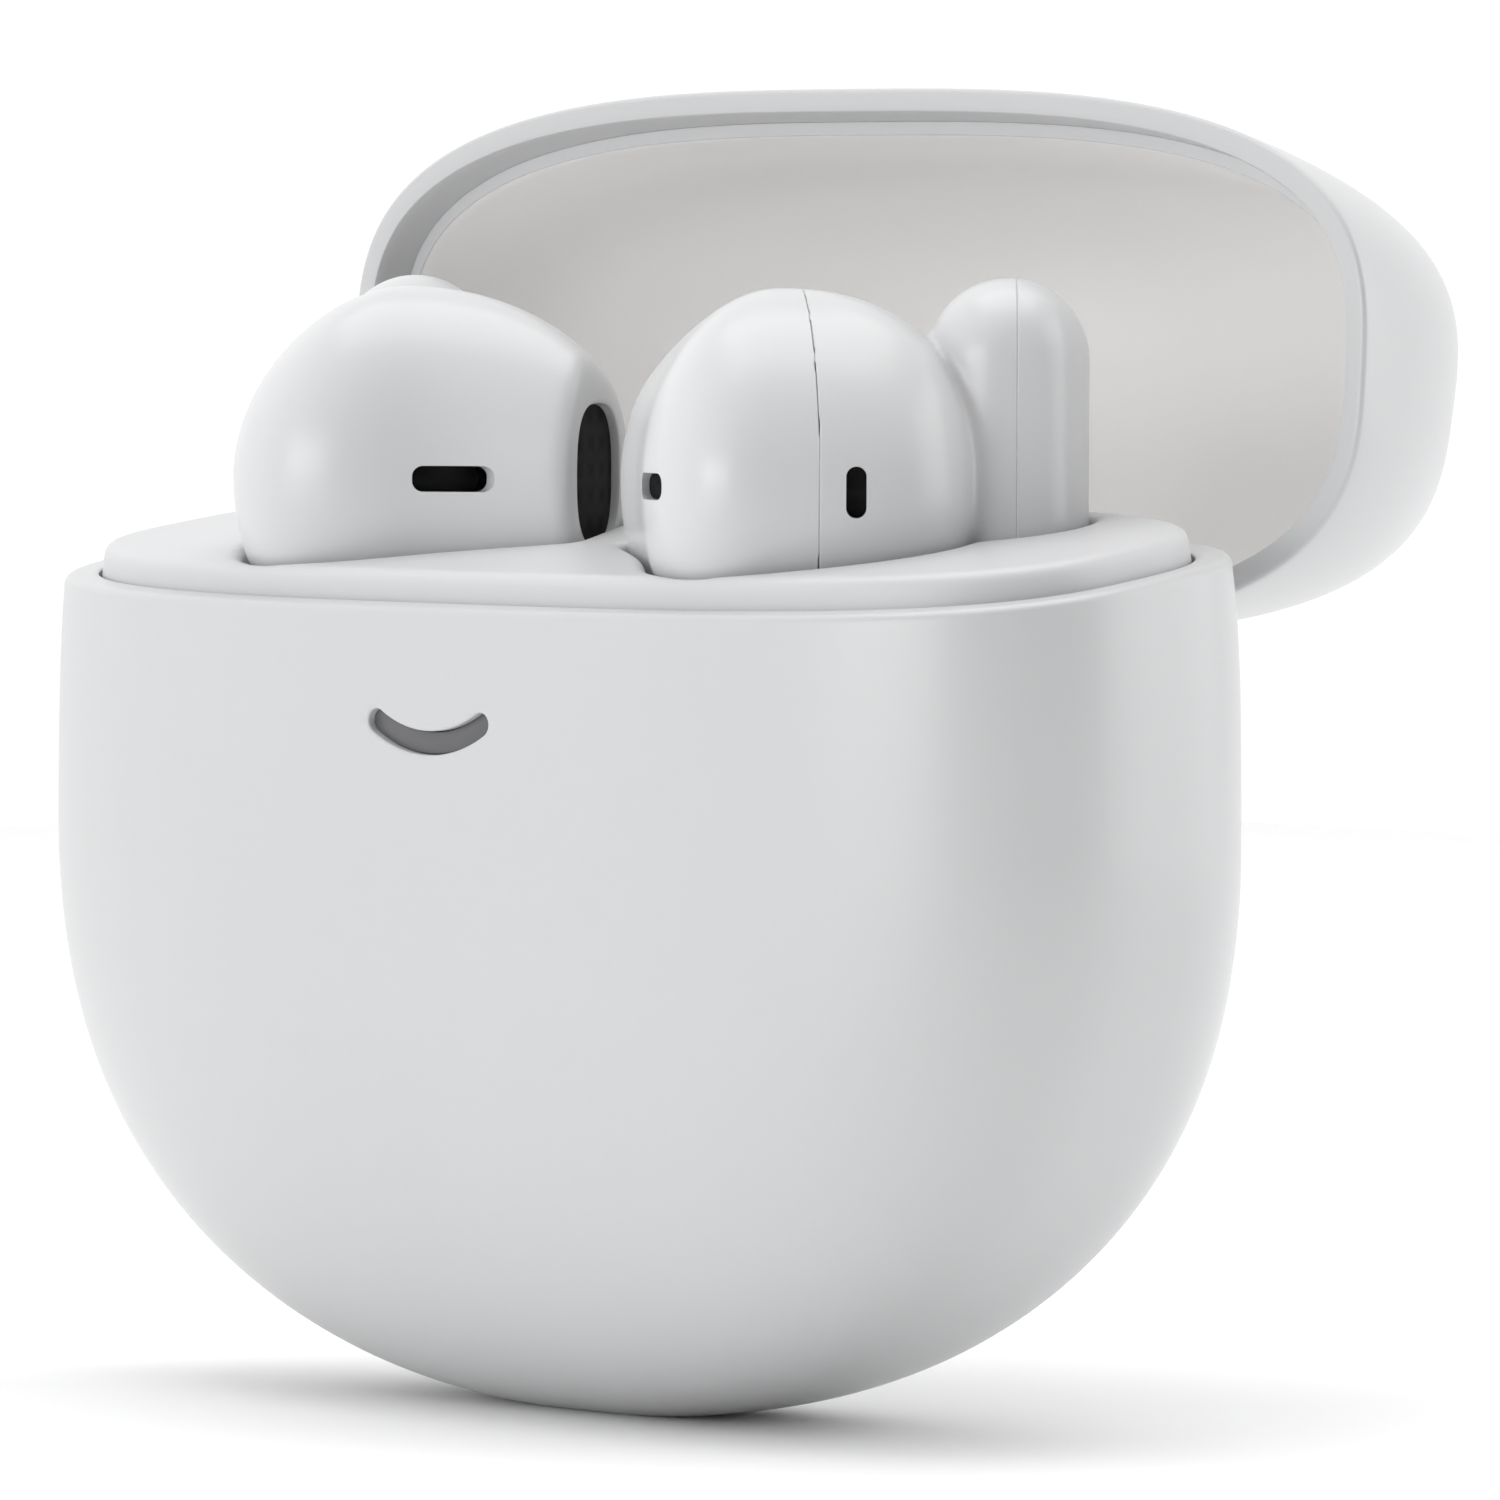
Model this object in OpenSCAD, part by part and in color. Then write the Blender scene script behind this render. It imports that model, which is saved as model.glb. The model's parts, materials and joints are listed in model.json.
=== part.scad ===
// Wireless earbuds case with its two buds, drawn with the lid open.
// Millimetres. +Z up, the front faces -Y. The origin is the centre of the flat
// spot under the case. The buds sit in the tray, stems down.

/* [Body] */
// half width of the case at its widest level
half_width = 27.6; // [27.2:0.1:28.4]
// half depth of the case at its deepest level
half_depth = 10.55; // [10.4:0.05:11]
// height of the closed case
case_height = 46.2; // [46:0.1:47]
// height of the middle of the lid line
seam_height = 31.7; // [31.5:0.1:31.9]
// slope of the lid line, down to the front, in degrees
rim_tilt = 8.2; // [7.5:0.1:8.6]
// shell wall
wall = 1.2; // [1.1:0.05:1.25]

/* [Lid] */
// how far the lid stands open, in degrees
lid_open = 100.4; // [60:0.1:100.4]
// lid shell wall
lid_wall = 0.9; // [0.85:0.05:0.95]
// how far the lid's inner hollow is set in from the outside
hollow_inset = 1.4; // [1.35:0.05:1.4]

/* [Buds] */
// stem axis, sideways from the middle
stem_x = 16; // [15.9:0.1:16.1]
// stem axis, back from the middle
stem_y = 3.75; // [3.6:0.05:3.9]
// stem radius
stem_radius = 3; // [2.9:0.05:3]
// top of the stem over the lid line
stem_rise = 10.8; // [10.5:0.1:10.8]
// bottom of the stem under the lid line
stem_drop = 20; // [19:0.5:20]
// housing wall of a bud
bud_wall = 0.8; // [0.7:0.05:0.85]

/* [Hidden] */
$fn = 48;

white = [0.9, 0.9, 0.91];
steel = [0.66, 0.67, 0.7];
gold = [0.8, 0.65, 0.35];
green = [0.1, 0.35, 0.2];
dark = [0.12, 0.12, 0.13];

gap = 0.05;
outer_sides = 56;
outer_levels = 16;
inner_sides = 44;
inner_levels = 12;
pocket_sides = 20;
pocket_levels = 10;
plan_power = 3;
wide_level = 21.8;
deep_level = 16.6;
foot_trim = 0.25;
low_power_x = 2.12;
low_power_y = 2.34;
top_power_x = 3.5;
top_power_y = 3.6;
tray_lip = 1.1;
tray_under = -3.2;
lid_ledge = 1.6;
// the lid's wall behind its inner liner
lid_thin_wall = 0.6;
// hinge pin in the plane of the lid line: back from the middle, and up
pin_back = 8.35;
pin_up = -1.9;
pin_radius = 0.5;
knuckle_radius = 1.3;
edge_round = 1.84;
seat_back = 1.42;
seat_low = -2.4;
sweep_half_width = 22;
knuckle_in = 5.2;
knuckle_out = 8.2;
bay_half_width = 10.6;
arm_half_width = 5;
pin_y = pin_back * cos(rim_tilt) - pin_up * sin(rim_tilt);
pin_z = seam_height + pin_back * sin(rim_tilt) + pin_up * cos(rim_tilt);

// bud head, in the bud's own frame: x from the stem to the head, -y to the nozzle
head_x = 8.4;
head_z = 3.3;
head_front = 5.1;
head_back = 7.5;
head_side = 6.6;
head_ear_side = 9.05;
head_tall = 7.1;
// how square the head is in plan, below its middle, and above it towards each side
head_plan_power = 2.55;
head_low_power = 2.25;
head_front_power = 1.95;
head_back_power = 2.25;
head_side_power = 1.8;
head_ear_power = 2;
// the ear side bends towards the nozzle
ear_bend = 2.7;
ear_bend_at = 7.5;
ear_bend_power = 2.05;
nozzle_turn = 22;
nozzle_reach = 8.1;
mouth_half = [2, 2.68];
mouth_across = 0.35;
// the head's two halves part on a nearly upright plane, the stem's on another
part_x = 7.62;
part_turn = 6.4;
stem_split = -0.3;
split_gap = 0.01;
// slots in the front of the heads: turn, half length, and where the mesh sits
left_slot = [-20, 1.4, 4.3];
right_slot = [34, 1.3, 4.75];
vent_level = 3.15;
seat_gap = 0.25;
board_under = seam_height - stem_drop - 2.9;

function signed_pow(v, e) = sign(v) * pow(abs(v), e);
function ring(a, b, power, count, z) = [for (i = [0:count - 1])
    let (t = 360 * (i + 0.5) / count)
    [a * signed_pow(cos(t), 2 / power), b * signed_pow(sin(t), 2 / power), z]];
function bulge(full, dist, reach, power) =
    full * pow(max(0, 1 - pow(min(1, dist / reach), power)), 1 / power);
function half_at(z, full, level, low, top, low_power, top_power) = z < level
    ? bulge(full, level - z, level - low, low_power)
    : bulge(full, z - level, top - level, top_power);

module skin(rings) {
    count = len(rings[0]);
    last = len(rings) - 1;
    sides = [for (k = [0:last - 1], i = [0:count - 1], half = [0, 1])
        let (j = (i + 1) % count, p = k * count, q = p + count)
        half == 0 ? [p + i, q + i, q + j] : [p + i, q + j, p + j]];
    ends = [[for (i = [0:count - 1]) i], [for (i = [count - 1:-1:0]) last * count + i]];
    polyhedron(points = [for (r = rings) each r], faces = concat(sides, ends));
}

// the closed outer form, drawn in by an inset
module pebble(inset, count = outer_sides, levels = outer_levels) {
    low = -foot_trim + inset;
    top = case_height - inset;
    first = max(low + 0.01, 0);
    skin([for (k = [0:levels])
        let (z = first + (top - 0.01 - first) * (1 - cos(180 * k / levels)) / 2)
        ring(half_at(z, half_width - inset, wide_level, low, top, low_power_x, top_power_x),
            half_at(z, half_depth - inset, deep_level, low, top, low_power_y, top_power_y),
            plan_power, count, z)]);
}

module rim_frame() {
    translate([0, 0, seam_height]) rotate([rim_tilt, 0, 0]) children();
}

// a slab along the lid line between two heights
module slab(low, high) {
    rim_frame() translate([-40, -40, low]) cube([80, 80, high - low]);
}

module at_pin() {
    rim_frame() translate([0, pin_back, pin_up]) children();
}

module rod_x(radius, from, to) {
    translate([from, 0, 0]) rotate([0, 90, 0]) cylinder(r = radius, h = to - from);
}

module box(low, high) {
    translate(low) cube(high - low);
}

module both_sides() {
    children();
    mirror([1, 0, 0]) children();
}

module lid_pose() {
    translate([0, pin_y, pin_z]) rotate([-lid_open, 0, 0])
        translate([0, -pin_y, -pin_z]) children();
}

module right_bud() {
    translate([stem_x, stem_y, seam_height]) rotate([0, 0, 225]) children();
}

// ---- case ----

led_arc_radius = 5.55;
led_thick = 0.88;
led_low_z = 25.2;
module led_arc(grow) {
    rotate([90, 0, 0]) intersection() {
        translate([0, led_arc_radius, 0]) difference() {
            cylinder(r = led_arc_radius + led_thick / 2 + grow, h = 4, $fn = 96);
            translate([0, 0, -1]) cylinder(r = led_arc_radius - led_thick / 2 - grow, h = 6, $fn = 96);
        }
        translate([-3.25 - grow, -2, 0]) cube([6.5 + 2 * grow, 3.4, 4]);
    }
}

module body_shell() {
    color(white) difference() {
        intersection() {
            pebble(0);
            slab(-60, 0);
        }
        pebble(wall, inner_sides, inner_levels);
        // rounded back edge that the lid's edge rolls around
        at_pin() difference() {
            box([-sweep_half_width, 0, 0], [sweep_half_width, 5, 5]);
            rod_x(edge_round, -30, 30);
        }
        // shallow seat under it, where the open lid's edge comes to rest
        at_pin() rotate([90, 0, 90]) translate([0, 0, -sweep_half_width])
            linear_extrude(2 * sweep_half_width)
            polygon([[5, 0.5], [edge_round, 0], [edge_round - 0.05, -0.33], [seat_back, seat_low],
                [5, seat_low]]);
        // open bay for the hinge knuckles
        at_pin() box([-bay_half_width, -3, -2.1], [bay_half_width, 5, 5]);
        translate([0, -6.5, led_low_z]) led_arc(0);
        usb_opening(0.2, 3);
    }
}

usb_half = [4.47, 1.63];
usb_z = 8.85;
module usb_opening(grow, reach) {
    translate([0, 12, usb_z]) rotate([90, 0, 0]) usb_bar(grow, 12 - 9.1 + reach);
}

module usb_bar(grow, length) {
    r = usb_half[1] + grow;
    off = usb_half[0] - usb_half[1];
    for (s = [-1, 1]) translate([s * off, 0, 0]) cylinder(r = r, h = length);
    translate([-off, -r, 0]) cube([2 * off, 2 * r, length]);
}

module usb_shell() {
    color(steel) difference() {
        translate([0, 9.1, usb_z]) rotate([90, 0, 0]) usb_bar(0, 7.3);
        translate([0, 9.5, usb_z]) rotate([90, 0, 0]) usb_bar(-0.3, 7);
    }
}

module usb_tongue() {
    color(dark) box([-3.3, 2.55, usb_z - 0.35], [3.3, 8.4, usb_z + 0.35]);
}

module tray() {
    color(white) difference() {
        intersection() {
            pebble(wall + gap, inner_sides, inner_levels);
            union() {
                slab(tray_under, tray_lip);
                both_sides() right_bud() {
                    intersection() {
                        bud_head(seat_gap + 0.8, pocket_sides, pocket_levels);
                        translate([-20, -20, -20]) cube([50, 40, 18.2]);
                    }
                    translate([0, 0, -stem_drop - 1.2])
                        cylinder(r = stem_radius + 1.1, h = stem_drop - 1.5);
                }
            }
        }
        both_sides() right_bud() {
            bud_head(seat_gap, pocket_sides, pocket_levels);
            translate([0, 0, -stem_drop - 0.1]) cylinder(r = stem_radius + 0.2, h = stem_drop + 6);
            contact_spots() translate([0, 0, -3]) cylinder(r = 0.72, h = 4);
        }
        // bay for the knuckles and the lid's arm
        at_pin() box([-bay_half_width, -2.05, -5], [bay_half_width, 5, 5]);
        both_sides() rim_frame() translate([4, 4.6, -3.6]) cylinder(r = 0.5, h = 2.9);
        both_sides() closing_magnet(gap);
    }
}

module light_guide() {
    color([0.35, 0.35, 0.37]) intersection() {
        translate([0, -6.5, led_low_z]) led_arc(-0.03);
        box([-5, -10.4, 20], [5, -9, 30]);
    }
}

module status_led() {
    color([0.95, 0.95, 0.8]) box([-0.8, -8.95, led_low_z - 0.4], [0.8, -8.4, led_low_z + 0.4]);
}

module front_board() {
    color(green) box([-5.5, -8.35, 18], [5.5, -7.75, 26.8]);
}

module hall_sensor() {
    color(dark) box([2.8, -8.95, 21], [4.2, -8.4, 22.4]);
}

module main_board() {
    color(green) box([-13, -5.5, 6.35], [13, 5.8, 7.15]);
}

module case_battery() {
    color([0.6, 0.62, 0.65]) box([-10.4, -5.2, 11.3], [10.4, 5.2, 24.6]);
}

module charge_board() {
    color(green) translate([stem_x, stem_y, board_under]) cylinder(r = 2.6, h = 0.6);
}

module pogo_spots() {
    for (s = [-1, 1]) translate([stem_x + s * 1.3, stem_y, board_under + 0.65]) children();
}

module pogo_barrels() {
    color(gold) pogo_spots() difference() {
        cylinder(r = 0.68, h = 1.15);
        translate([0, 0, 0.25]) cylinder(r = 0.5, h = 2);
    }
}

module pogo_pin(side) {
    color(gold) translate([stem_x + side * 1.3, stem_y, 0]) {
        translate([0, 0, seam_height - stem_drop - 1.45]) cylinder(r = 0.45, h = 0.45);
        translate([0, 0, seam_height - stem_drop - 1.45]) cylinder(r = 0.3, h = 1.43);
    }
}

module hinge_bracket() {
    color(steel) difference() {
        union() {
            rim_frame() box([-5, 3.5, -4.15], [5, 8.1, -3.25]);
            rim_frame() box([-knuckle_out, 6.2, -4.15], [knuckle_out, 8.1, -3.25]);
            both_sides() at_pin() {
                rod_x(knuckle_radius, knuckle_in, knuckle_out);
                box([knuckle_in, -1.2, -1.8], [knuckle_out, 0, 0]);
            }
        }
        at_pin() rod_x(pin_radius + 0.02, -20, 20);
        both_sides() rim_frame() translate([4, 4.6, -5]) cylinder(r = 0.52, h = 3);
    }
}

module hinge_pin() {
    color(steel) at_pin() rod_x(pin_radius, -10.4, 10.4);
}

coil_radius = 0.85;
wire_radius = 0.16;
coil_turns = 4;
coil_pitch = 0.42;
module hinge_springs() {
    steps = coil_turns * 12;
    color(steel) both_sides() at_pin() translate([knuckle_out + 0.35, 0, 0]) rotate([0, 90, 0])
        skin([for (k = [0:steps])
            let (t = 30 * k, rise = coil_pitch * k / 12)
            [for (i = [0:5])
                let (w = 60 * i, r = coil_radius + wire_radius * cos(w))
                [r * cos(t), r * sin(t), rise + wire_radius * sin(w)]]]);
}

module tray_screws() {
    color(steel) both_sides() rim_frame() translate([4, 4.6, 0]) {
        translate([0, 0, -4.75]) cylinder(r = 0.95, h = 0.58);
        translate([0, 0, -4.3]) cylinder(r = 0.47, h = 3.5);
    }
}

module closing_magnet(grow) {
    rim_frame() box([24.1 - grow, -2.5 - grow, -3.3 - grow], [25.5 + grow, 2.5 + grow, -0.9 + grow]);
}

module closing_magnets() {
    color(steel) both_sides() closing_magnet(0);
}

module bud_holding_magnets() {
    color(steel) both_sides() box([14.6, -2.9, 17], [17.4, -0.4, 22]);
}

// ---- lid, drawn closed and then turned ----

module hollow_form() {
    low = seam_height - 12;
    top = case_height - hollow_inset - 0.1;
    skin([for (k = [0:inner_levels])
        let (z = low + (top - 0.01 - low) * sin(90 * k / inner_levels))
        ring(half_at(z, half_width - hollow_inset, wide_level, low - 30, top, 2, 3.6),
            half_at(z, half_depth - hollow_inset - 0.12, deep_level, low - 30, top, 2, 3.9),
            plan_power, inner_sides, z)]);
}

module lid_shell() {
    color(white) lid_pose() difference() {
        intersection() {
            pebble(0);
            slab(0.06, 60);
        }
        pebble(lid_wall, inner_sides, inner_levels);
        intersection() {
            pebble(lid_thin_wall, inner_sides, inner_levels);
            slab(lid_ledge, 60);
        }
        both_sides() lid_magnet(gap);
        head_relief();
    }
}

head_sweep_x = 10.8;
head_sweep_radius = 17.87;
stem_relief = 0.15;
// hollows that the heads pass through as the lid swings shut
module head_relief() {
    both_sides() intersection() {
        at_pin() translate([head_sweep_x, 0, 0]) sphere(r = head_sweep_radius, $fn = 96);
        box([0, -12, 29], [20, 0, 40]);
    }
}

// and those that the stems' tops reach into
module stem_relief_pockets() {
    both_sides() right_bud() stem_form(stem_relief);
}

module lid_liner() {
    color(white) lid_pose() difference() {
        intersection() {
            pebble(lid_thin_wall + gap, inner_sides, inner_levels);
            slab(lid_ledge + gap / 2, 60);
        }
        hollow_form();
        head_relief();
        stem_relief_pockets();
        both_sides() lid_magnet(gap);
        at_pin() box([-arm_half_width - gap, -0.5, -2], [arm_half_width + gap, 0.7, 8]);
        both_sides() arm_screw(0.03);
    }
}

module lid_hinge_arm() {
    color(steel) lid_pose() difference() {
        union() {
            at_pin() rod_x(knuckle_radius, -arm_half_width, arm_half_width);
            at_pin() box([-arm_half_width, -0.45, 0], [arm_half_width, 0.65, 7.5]);
        }
        at_pin() rod_x(pin_radius + 0.02, -20, 20);
        both_sides() arm_screw(0.03);
    }
}

module arm_screw(grow) {
    at_pin() translate([3, -0.5, 5.6]) rotate([-90, 0, 0]) {
        translate([0, 0, -0.4]) cylinder(r = 1 + grow, h = 0.42);
        cylinder(r = 0.45 + grow, h = 1.45);
    }
}

module arm_screws() {
    color(steel) lid_pose() both_sides() arm_screw(0);
}

module lid_magnet(grow) {
    rim_frame() box([25.6 - grow, -2.2 - grow, 2.2 - grow], [25.86 + grow, 2.2 + grow, 3.4 + grow]);
}

module lid_magnets() {
    color(steel) lid_pose() both_sides() lid_magnet(0);
}

// ---- buds, drawn for the right side ----

function head_power_at(a, upper) = !upper ? head_low_power
    : let (c = pow(cos(a), 4), share = c / (c + pow(sin(a), 4)))
        share * (cos(a) < 0 ? head_back_power : head_front_power)
        + (1 - share) * (sin(a) < 0 ? head_ear_power : head_side_power);

function head_point(a, level, grow) =
    let (power = head_power_at(a, level > 0),
        spread = pow(pow(abs(cos(a)), head_plan_power) + pow(abs(sin(a)), head_plan_power), -1 / head_plan_power),
        size = spread * pow(1 - pow(abs(level), power), 1 / power),
        x = cos(a) * size * ((cos(a) < 0 ? head_back : head_front) + grow),
        y = sin(a) * size * ((sin(a) < 0 ? head_ear_side : head_side) + grow))
    [x + ear_bend * pow(max(0, -y) / ear_bend_at, ear_bend_power), y, level * (head_tall + grow)];

module bud_head(grow, count = 28, levels = 12) {
    intersection() {
        translate([head_x, 0, head_z]) skin([for (k = [0:levels])
            [for (i = [0:count - 1]) head_point(360 * (i + 0.5) / count, -cos(4 + 172 * k / levels), grow)]]);
        at_nozzle() translate([-20, -nozzle_reach - grow, -20]) cube([40, 40, 40]);
    }
}

module at_nozzle() {
    translate([head_x, 0, head_z]) rotate([0, 0, nozzle_turn]) children();
}

module mouth(grow, from, length) {
    at_nozzle() translate([mouth_across, -from, 0]) rotate([90, 0, 0]) linear_extrude(length)
        scale([mouth_half[0] + grow, mouth_half[1] + grow]) circle(r = 1, $fn = 32);
}

module stem_form(grow) {
    translate([0, 0, -stem_drop + 1.4]) cylinder(r = stem_radius + grow,
        h = stem_drop - 1.4 + stem_rise - stem_radius);
    translate([0, 0, stem_rise - stem_radius]) sphere(r = stem_radius + grow);
}

module hollow_bud(slot) {
    difference() {
        union() {
            bud_head(0);
            stem_form(0);
        }
        bud_head(-bud_wall, pocket_sides, pocket_levels);
        stem_form(-bud_wall);
        translate([0, 0, -stem_drop]) cylinder(r = stem_radius - bud_wall, h = 3);
        mouth(0, nozzle_reach - 2, 4);
        front_vent(slot, 0, 3.6, 9);
        side_vent(0, 3, 9);
    }
}

// the half of the head away from the stem
module inner_region(grow) {
    translate([part_x - grow, 0, -20]) rotate([0, 0, part_turn]) translate([0, -20, 0]) cube([20, 40, 40]);
}

// slots in the housing: one faces away from the stem, the other is beside the parting line
module front_vent(slot, grow, from, to) {
    translate([head_x, 0, vent_level]) rotate([0, 0, slot[0]])
        box([from, -slot[1] - grow, -0.49 - grow], [to, slot[1] + grow, 0.49 + grow]);
}

module side_vent(grow, from, to) {
    box([5.2 - grow, from, 2.08 - grow], [5.94 + grow, to, 3.96 + grow]);
}

module inner_housing(slot) {
    color(white) intersection() {
        hollow_bud(slot);
        inner_region(0);
    }
}

module outer_housing(slot) {
    color(white) difference() {
        hollow_bud(slot);
        inner_region(0.02);
        translate([-20, -20, -30]) cube([20 + stem_split + split_gap, 40, 60]);
    }
}

module stem_cover() {
    color(white) intersection() {
        difference() {
            stem_form(0);
            stem_form(-bud_wall);
            translate([0, 0, -stem_drop]) cylinder(r = stem_radius - bud_wall, h = 3);
        }
        translate([-20, -20, -30]) cube([20 + stem_split - split_gap, 40, 60]);
    }
}

module contact_spots() {
    rotate([0, 0, 135]) for (s = [-1, 1]) translate([s * 1.3, 0, -stem_drop]) children();
}

module end_cap() {
    color(white) difference() {
        union() {
            translate([0, 0, -stem_drop]) cylinder(r = stem_radius, h = 1.38);
            translate([0, 0, -stem_drop + 1]) cylinder(r = stem_radius - bud_wall - 0.03, h = 1.2);
        }
        contact_spots() translate([0, 0, -1]) cylinder(r = 0.83, h = 4);
        translate([0, 1.7, -stem_drop - 1]) cylinder(r = 0.3, h = 4);
    }
}

module contacts() {
    color(gold) contact_spots() cylinder(r = 0.8, h = 2.2);
}

module nozzle_mesh() {
    color(dark) mouth(-0.02, nozzle_reach - 0.45, 0.2);
}

module front_vent_mesh(slot) {
    color(dark) front_vent(slot, -0.02, slot[2], slot[2] + 0.25);
}

module side_vent_mesh() {
    color(dark) side_vent(-0.02, 5.55, 5.8);
}

driver_across = -1.3;
module driver() {
    color(steel) translate([head_x, 0, head_z]) rotate([0, 0, nozzle_turn]) rotate([90, 0, 0])
        translate([driver_across, 0, -0.4]) cylinder(r = 4.6, h = 2.6);
}

module bud_battery() {
    color([0.6, 0.62, 0.65]) translate([0, 0, -14.5]) cylinder(r = 1.85, h = 16);
}

module bud_board() {
    color(green) box([-0.3, -1.6, 2], [0.3, 1.6, 8.2]);
}

module microphone() {
    color(steel) box([-0.6, 0.9, -stem_drop + 2.35], [0.6, 1.9, -stem_drop + 4.8]);
}

module bud_magnet() {
    color(steel) translate([head_x - 0.5, 0, head_z - 5.75]) cylinder(r = 1.9, h = 1);
}

module place(side) {
    if (side > 0) right_bud() children();
    else mirror([1, 0, 0]) right_bud() children();
}

body_shell();
tray();
light_guide();
status_led();
front_board();
hall_sensor();
main_board();
case_battery();
usb_shell();
usb_tongue();
mirror([1, 0, 0]) charge_board();  // charge_board_left
charge_board();  // charge_board_right
mirror([1, 0, 0]) pogo_barrels();  // pogo_barrels_left
pogo_barrels();  // pogo_barrels_right
mirror([1, 0, 0]) pogo_pin(1);  // pogo_pin_left_outer
mirror([1, 0, 0]) pogo_pin(-1);  // pogo_pin_left_inner
pogo_pin(1);  // pogo_pin_right_outer
pogo_pin(-1);  // pogo_pin_right_inner
hinge_bracket();
hinge_pin();
hinge_springs();
closing_magnets();
bud_holding_magnets();
tray_screws();
lid_shell();
lid_liner();
lid_hinge_arm();
lid_magnets();
arm_screws();
place(1) inner_housing(right_slot);  // right_inner_housing
place(1) outer_housing(right_slot);  // right_outer_housing
place(1) stem_cover();  // right_stem_cover
place(1) end_cap();  // right_end_cap
place(1) nozzle_mesh();  // right_nozzle_mesh
place(1) front_vent_mesh(right_slot);  // right_front_vent_mesh
place(1) side_vent_mesh();  // right_side_vent_mesh
place(1) contacts();  // right_contacts
place(1) driver();  // right_driver
place(1) bud_battery();  // right_bud_battery
place(1) bud_board();  // right_bud_board
place(1) microphone();  // right_microphone
place(1) bud_magnet();  // right_bud_magnet
place(-1) inner_housing(left_slot);  // left_inner_housing
place(-1) outer_housing(left_slot);  // left_outer_housing
place(-1) stem_cover();  // left_stem_cover
place(-1) end_cap();  // left_end_cap
place(-1) nozzle_mesh();  // left_nozzle_mesh
place(-1) front_vent_mesh(left_slot);  // left_front_vent_mesh
place(-1) side_vent_mesh();  // left_side_vent_mesh
place(-1) contacts();  // left_contacts
place(-1) driver();  // left_driver
place(-1) bud_battery();  // left_bud_battery
place(-1) bud_board();  // left_bud_board
place(-1) microphone();  // left_microphone
place(-1) bud_magnet();  // left_bud_magnet
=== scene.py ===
"""Wireless earbuds case, lid open, both buds in the tray."""
import itertools
import json
import math

import bpy
import bmesh
import numpy as np
from mathutils import Matrix, Vector


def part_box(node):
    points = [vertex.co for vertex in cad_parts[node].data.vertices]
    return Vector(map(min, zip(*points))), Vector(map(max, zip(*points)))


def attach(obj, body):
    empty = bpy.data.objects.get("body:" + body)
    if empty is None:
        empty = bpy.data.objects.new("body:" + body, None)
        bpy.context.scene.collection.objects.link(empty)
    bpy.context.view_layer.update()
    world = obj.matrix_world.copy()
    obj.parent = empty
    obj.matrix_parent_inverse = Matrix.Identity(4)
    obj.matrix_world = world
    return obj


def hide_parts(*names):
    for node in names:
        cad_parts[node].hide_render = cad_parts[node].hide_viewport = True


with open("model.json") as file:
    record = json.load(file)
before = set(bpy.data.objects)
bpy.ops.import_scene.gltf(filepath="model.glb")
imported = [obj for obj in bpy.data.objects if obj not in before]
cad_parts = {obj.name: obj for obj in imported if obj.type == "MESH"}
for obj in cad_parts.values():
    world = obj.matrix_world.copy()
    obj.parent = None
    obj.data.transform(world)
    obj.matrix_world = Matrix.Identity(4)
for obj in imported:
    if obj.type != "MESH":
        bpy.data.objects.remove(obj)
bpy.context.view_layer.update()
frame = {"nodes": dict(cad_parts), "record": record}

MM = 0.001


def corners(node):
    low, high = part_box(node)
    return np.array(low) / MM, np.array(high) / MM


def joint(name):
    return next(j for j in frame["record"]["behaviour"]["joints"] if j["name"] == name)


# ---- sizes in millimetres: from the frame, as in the part's source, or given ----
body_low, body_high = corners("body_shell")
HALF_WIDTH = body_high[0]
HALF_DEPTH = -body_low[1]

# the lid line slopes up towards the back, and the hinge pin is placed from its middle
hinge = joint("lid_hinge")
PIN = np.array(hinge["pos_m"]) / MM
LID_OPEN = math.radians(-hinge["range_deg"][0])
RIM_TILT = math.radians(8.2)
PIN_BACK, PIN_UP = 8.35, -1.9
SEAM = PIN[2] - PIN_BACK * math.sin(RIM_TILT) - PIN_UP * math.cos(RIM_TILT)

# the shut case's pebble form: its height, its widest and deepest levels and its roundness
CASE_HEIGHT = SEAM + 14.5
FOOT_TRIM = 0.25
WIDE_LEVEL, DEEP_LEVEL = 21.8, 16.6
POWERS_X, POWERS_Y = (2.12, 3.5), (2.34, 3.6)
PLAN_POWER = 3.0
ROUND_POINTS = 320

# the case's edge, the bay for the hinge, and the seat that the open lid rests in
RIM_WALL, RIM_FILLET, RIM_BAND = 1.2, 0.28, 5.0
EDGE_ROUND = 1.84
BAY_HALF = 10.6
SEAT_FROM, SEAT_LOW, SEAT_BACK, SEAT_HALF = -0.33, -2.4, 1.42, 22

# the lid's shell, and its liner behind a ledge
LID_GAP, LID_FILLET, LID_WALL, LID_THIN = 0.06, 0.22, 0.9, 0.6
LEDGE, LEDGE_COVER = 1.6, 0.03
LINER_INSET, LINER_THINNER = 1.4, 0.42
LINER_TOP, LINER_LOW = CASE_HEIGHT - 1.1, SEAM - 42
LINER_POWERS_X, LINER_POWERS_Y = (2, 3.6), (2, 3.8)
ARM_HALF = 5.05
ARM_SCREW_X, ARM_SCREW_UP = 3, 5.6
ARM_SCREW_BORES = ((1.05, -1.2, -0.45), (0.5, -0.8, 1.2))
LID_MAGNET_X, LID_MAGNET_Y, LID_MAGNET_Z = (25.55, 25.91), (-2.25, 2.25), (2.15, 3.45)

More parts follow.
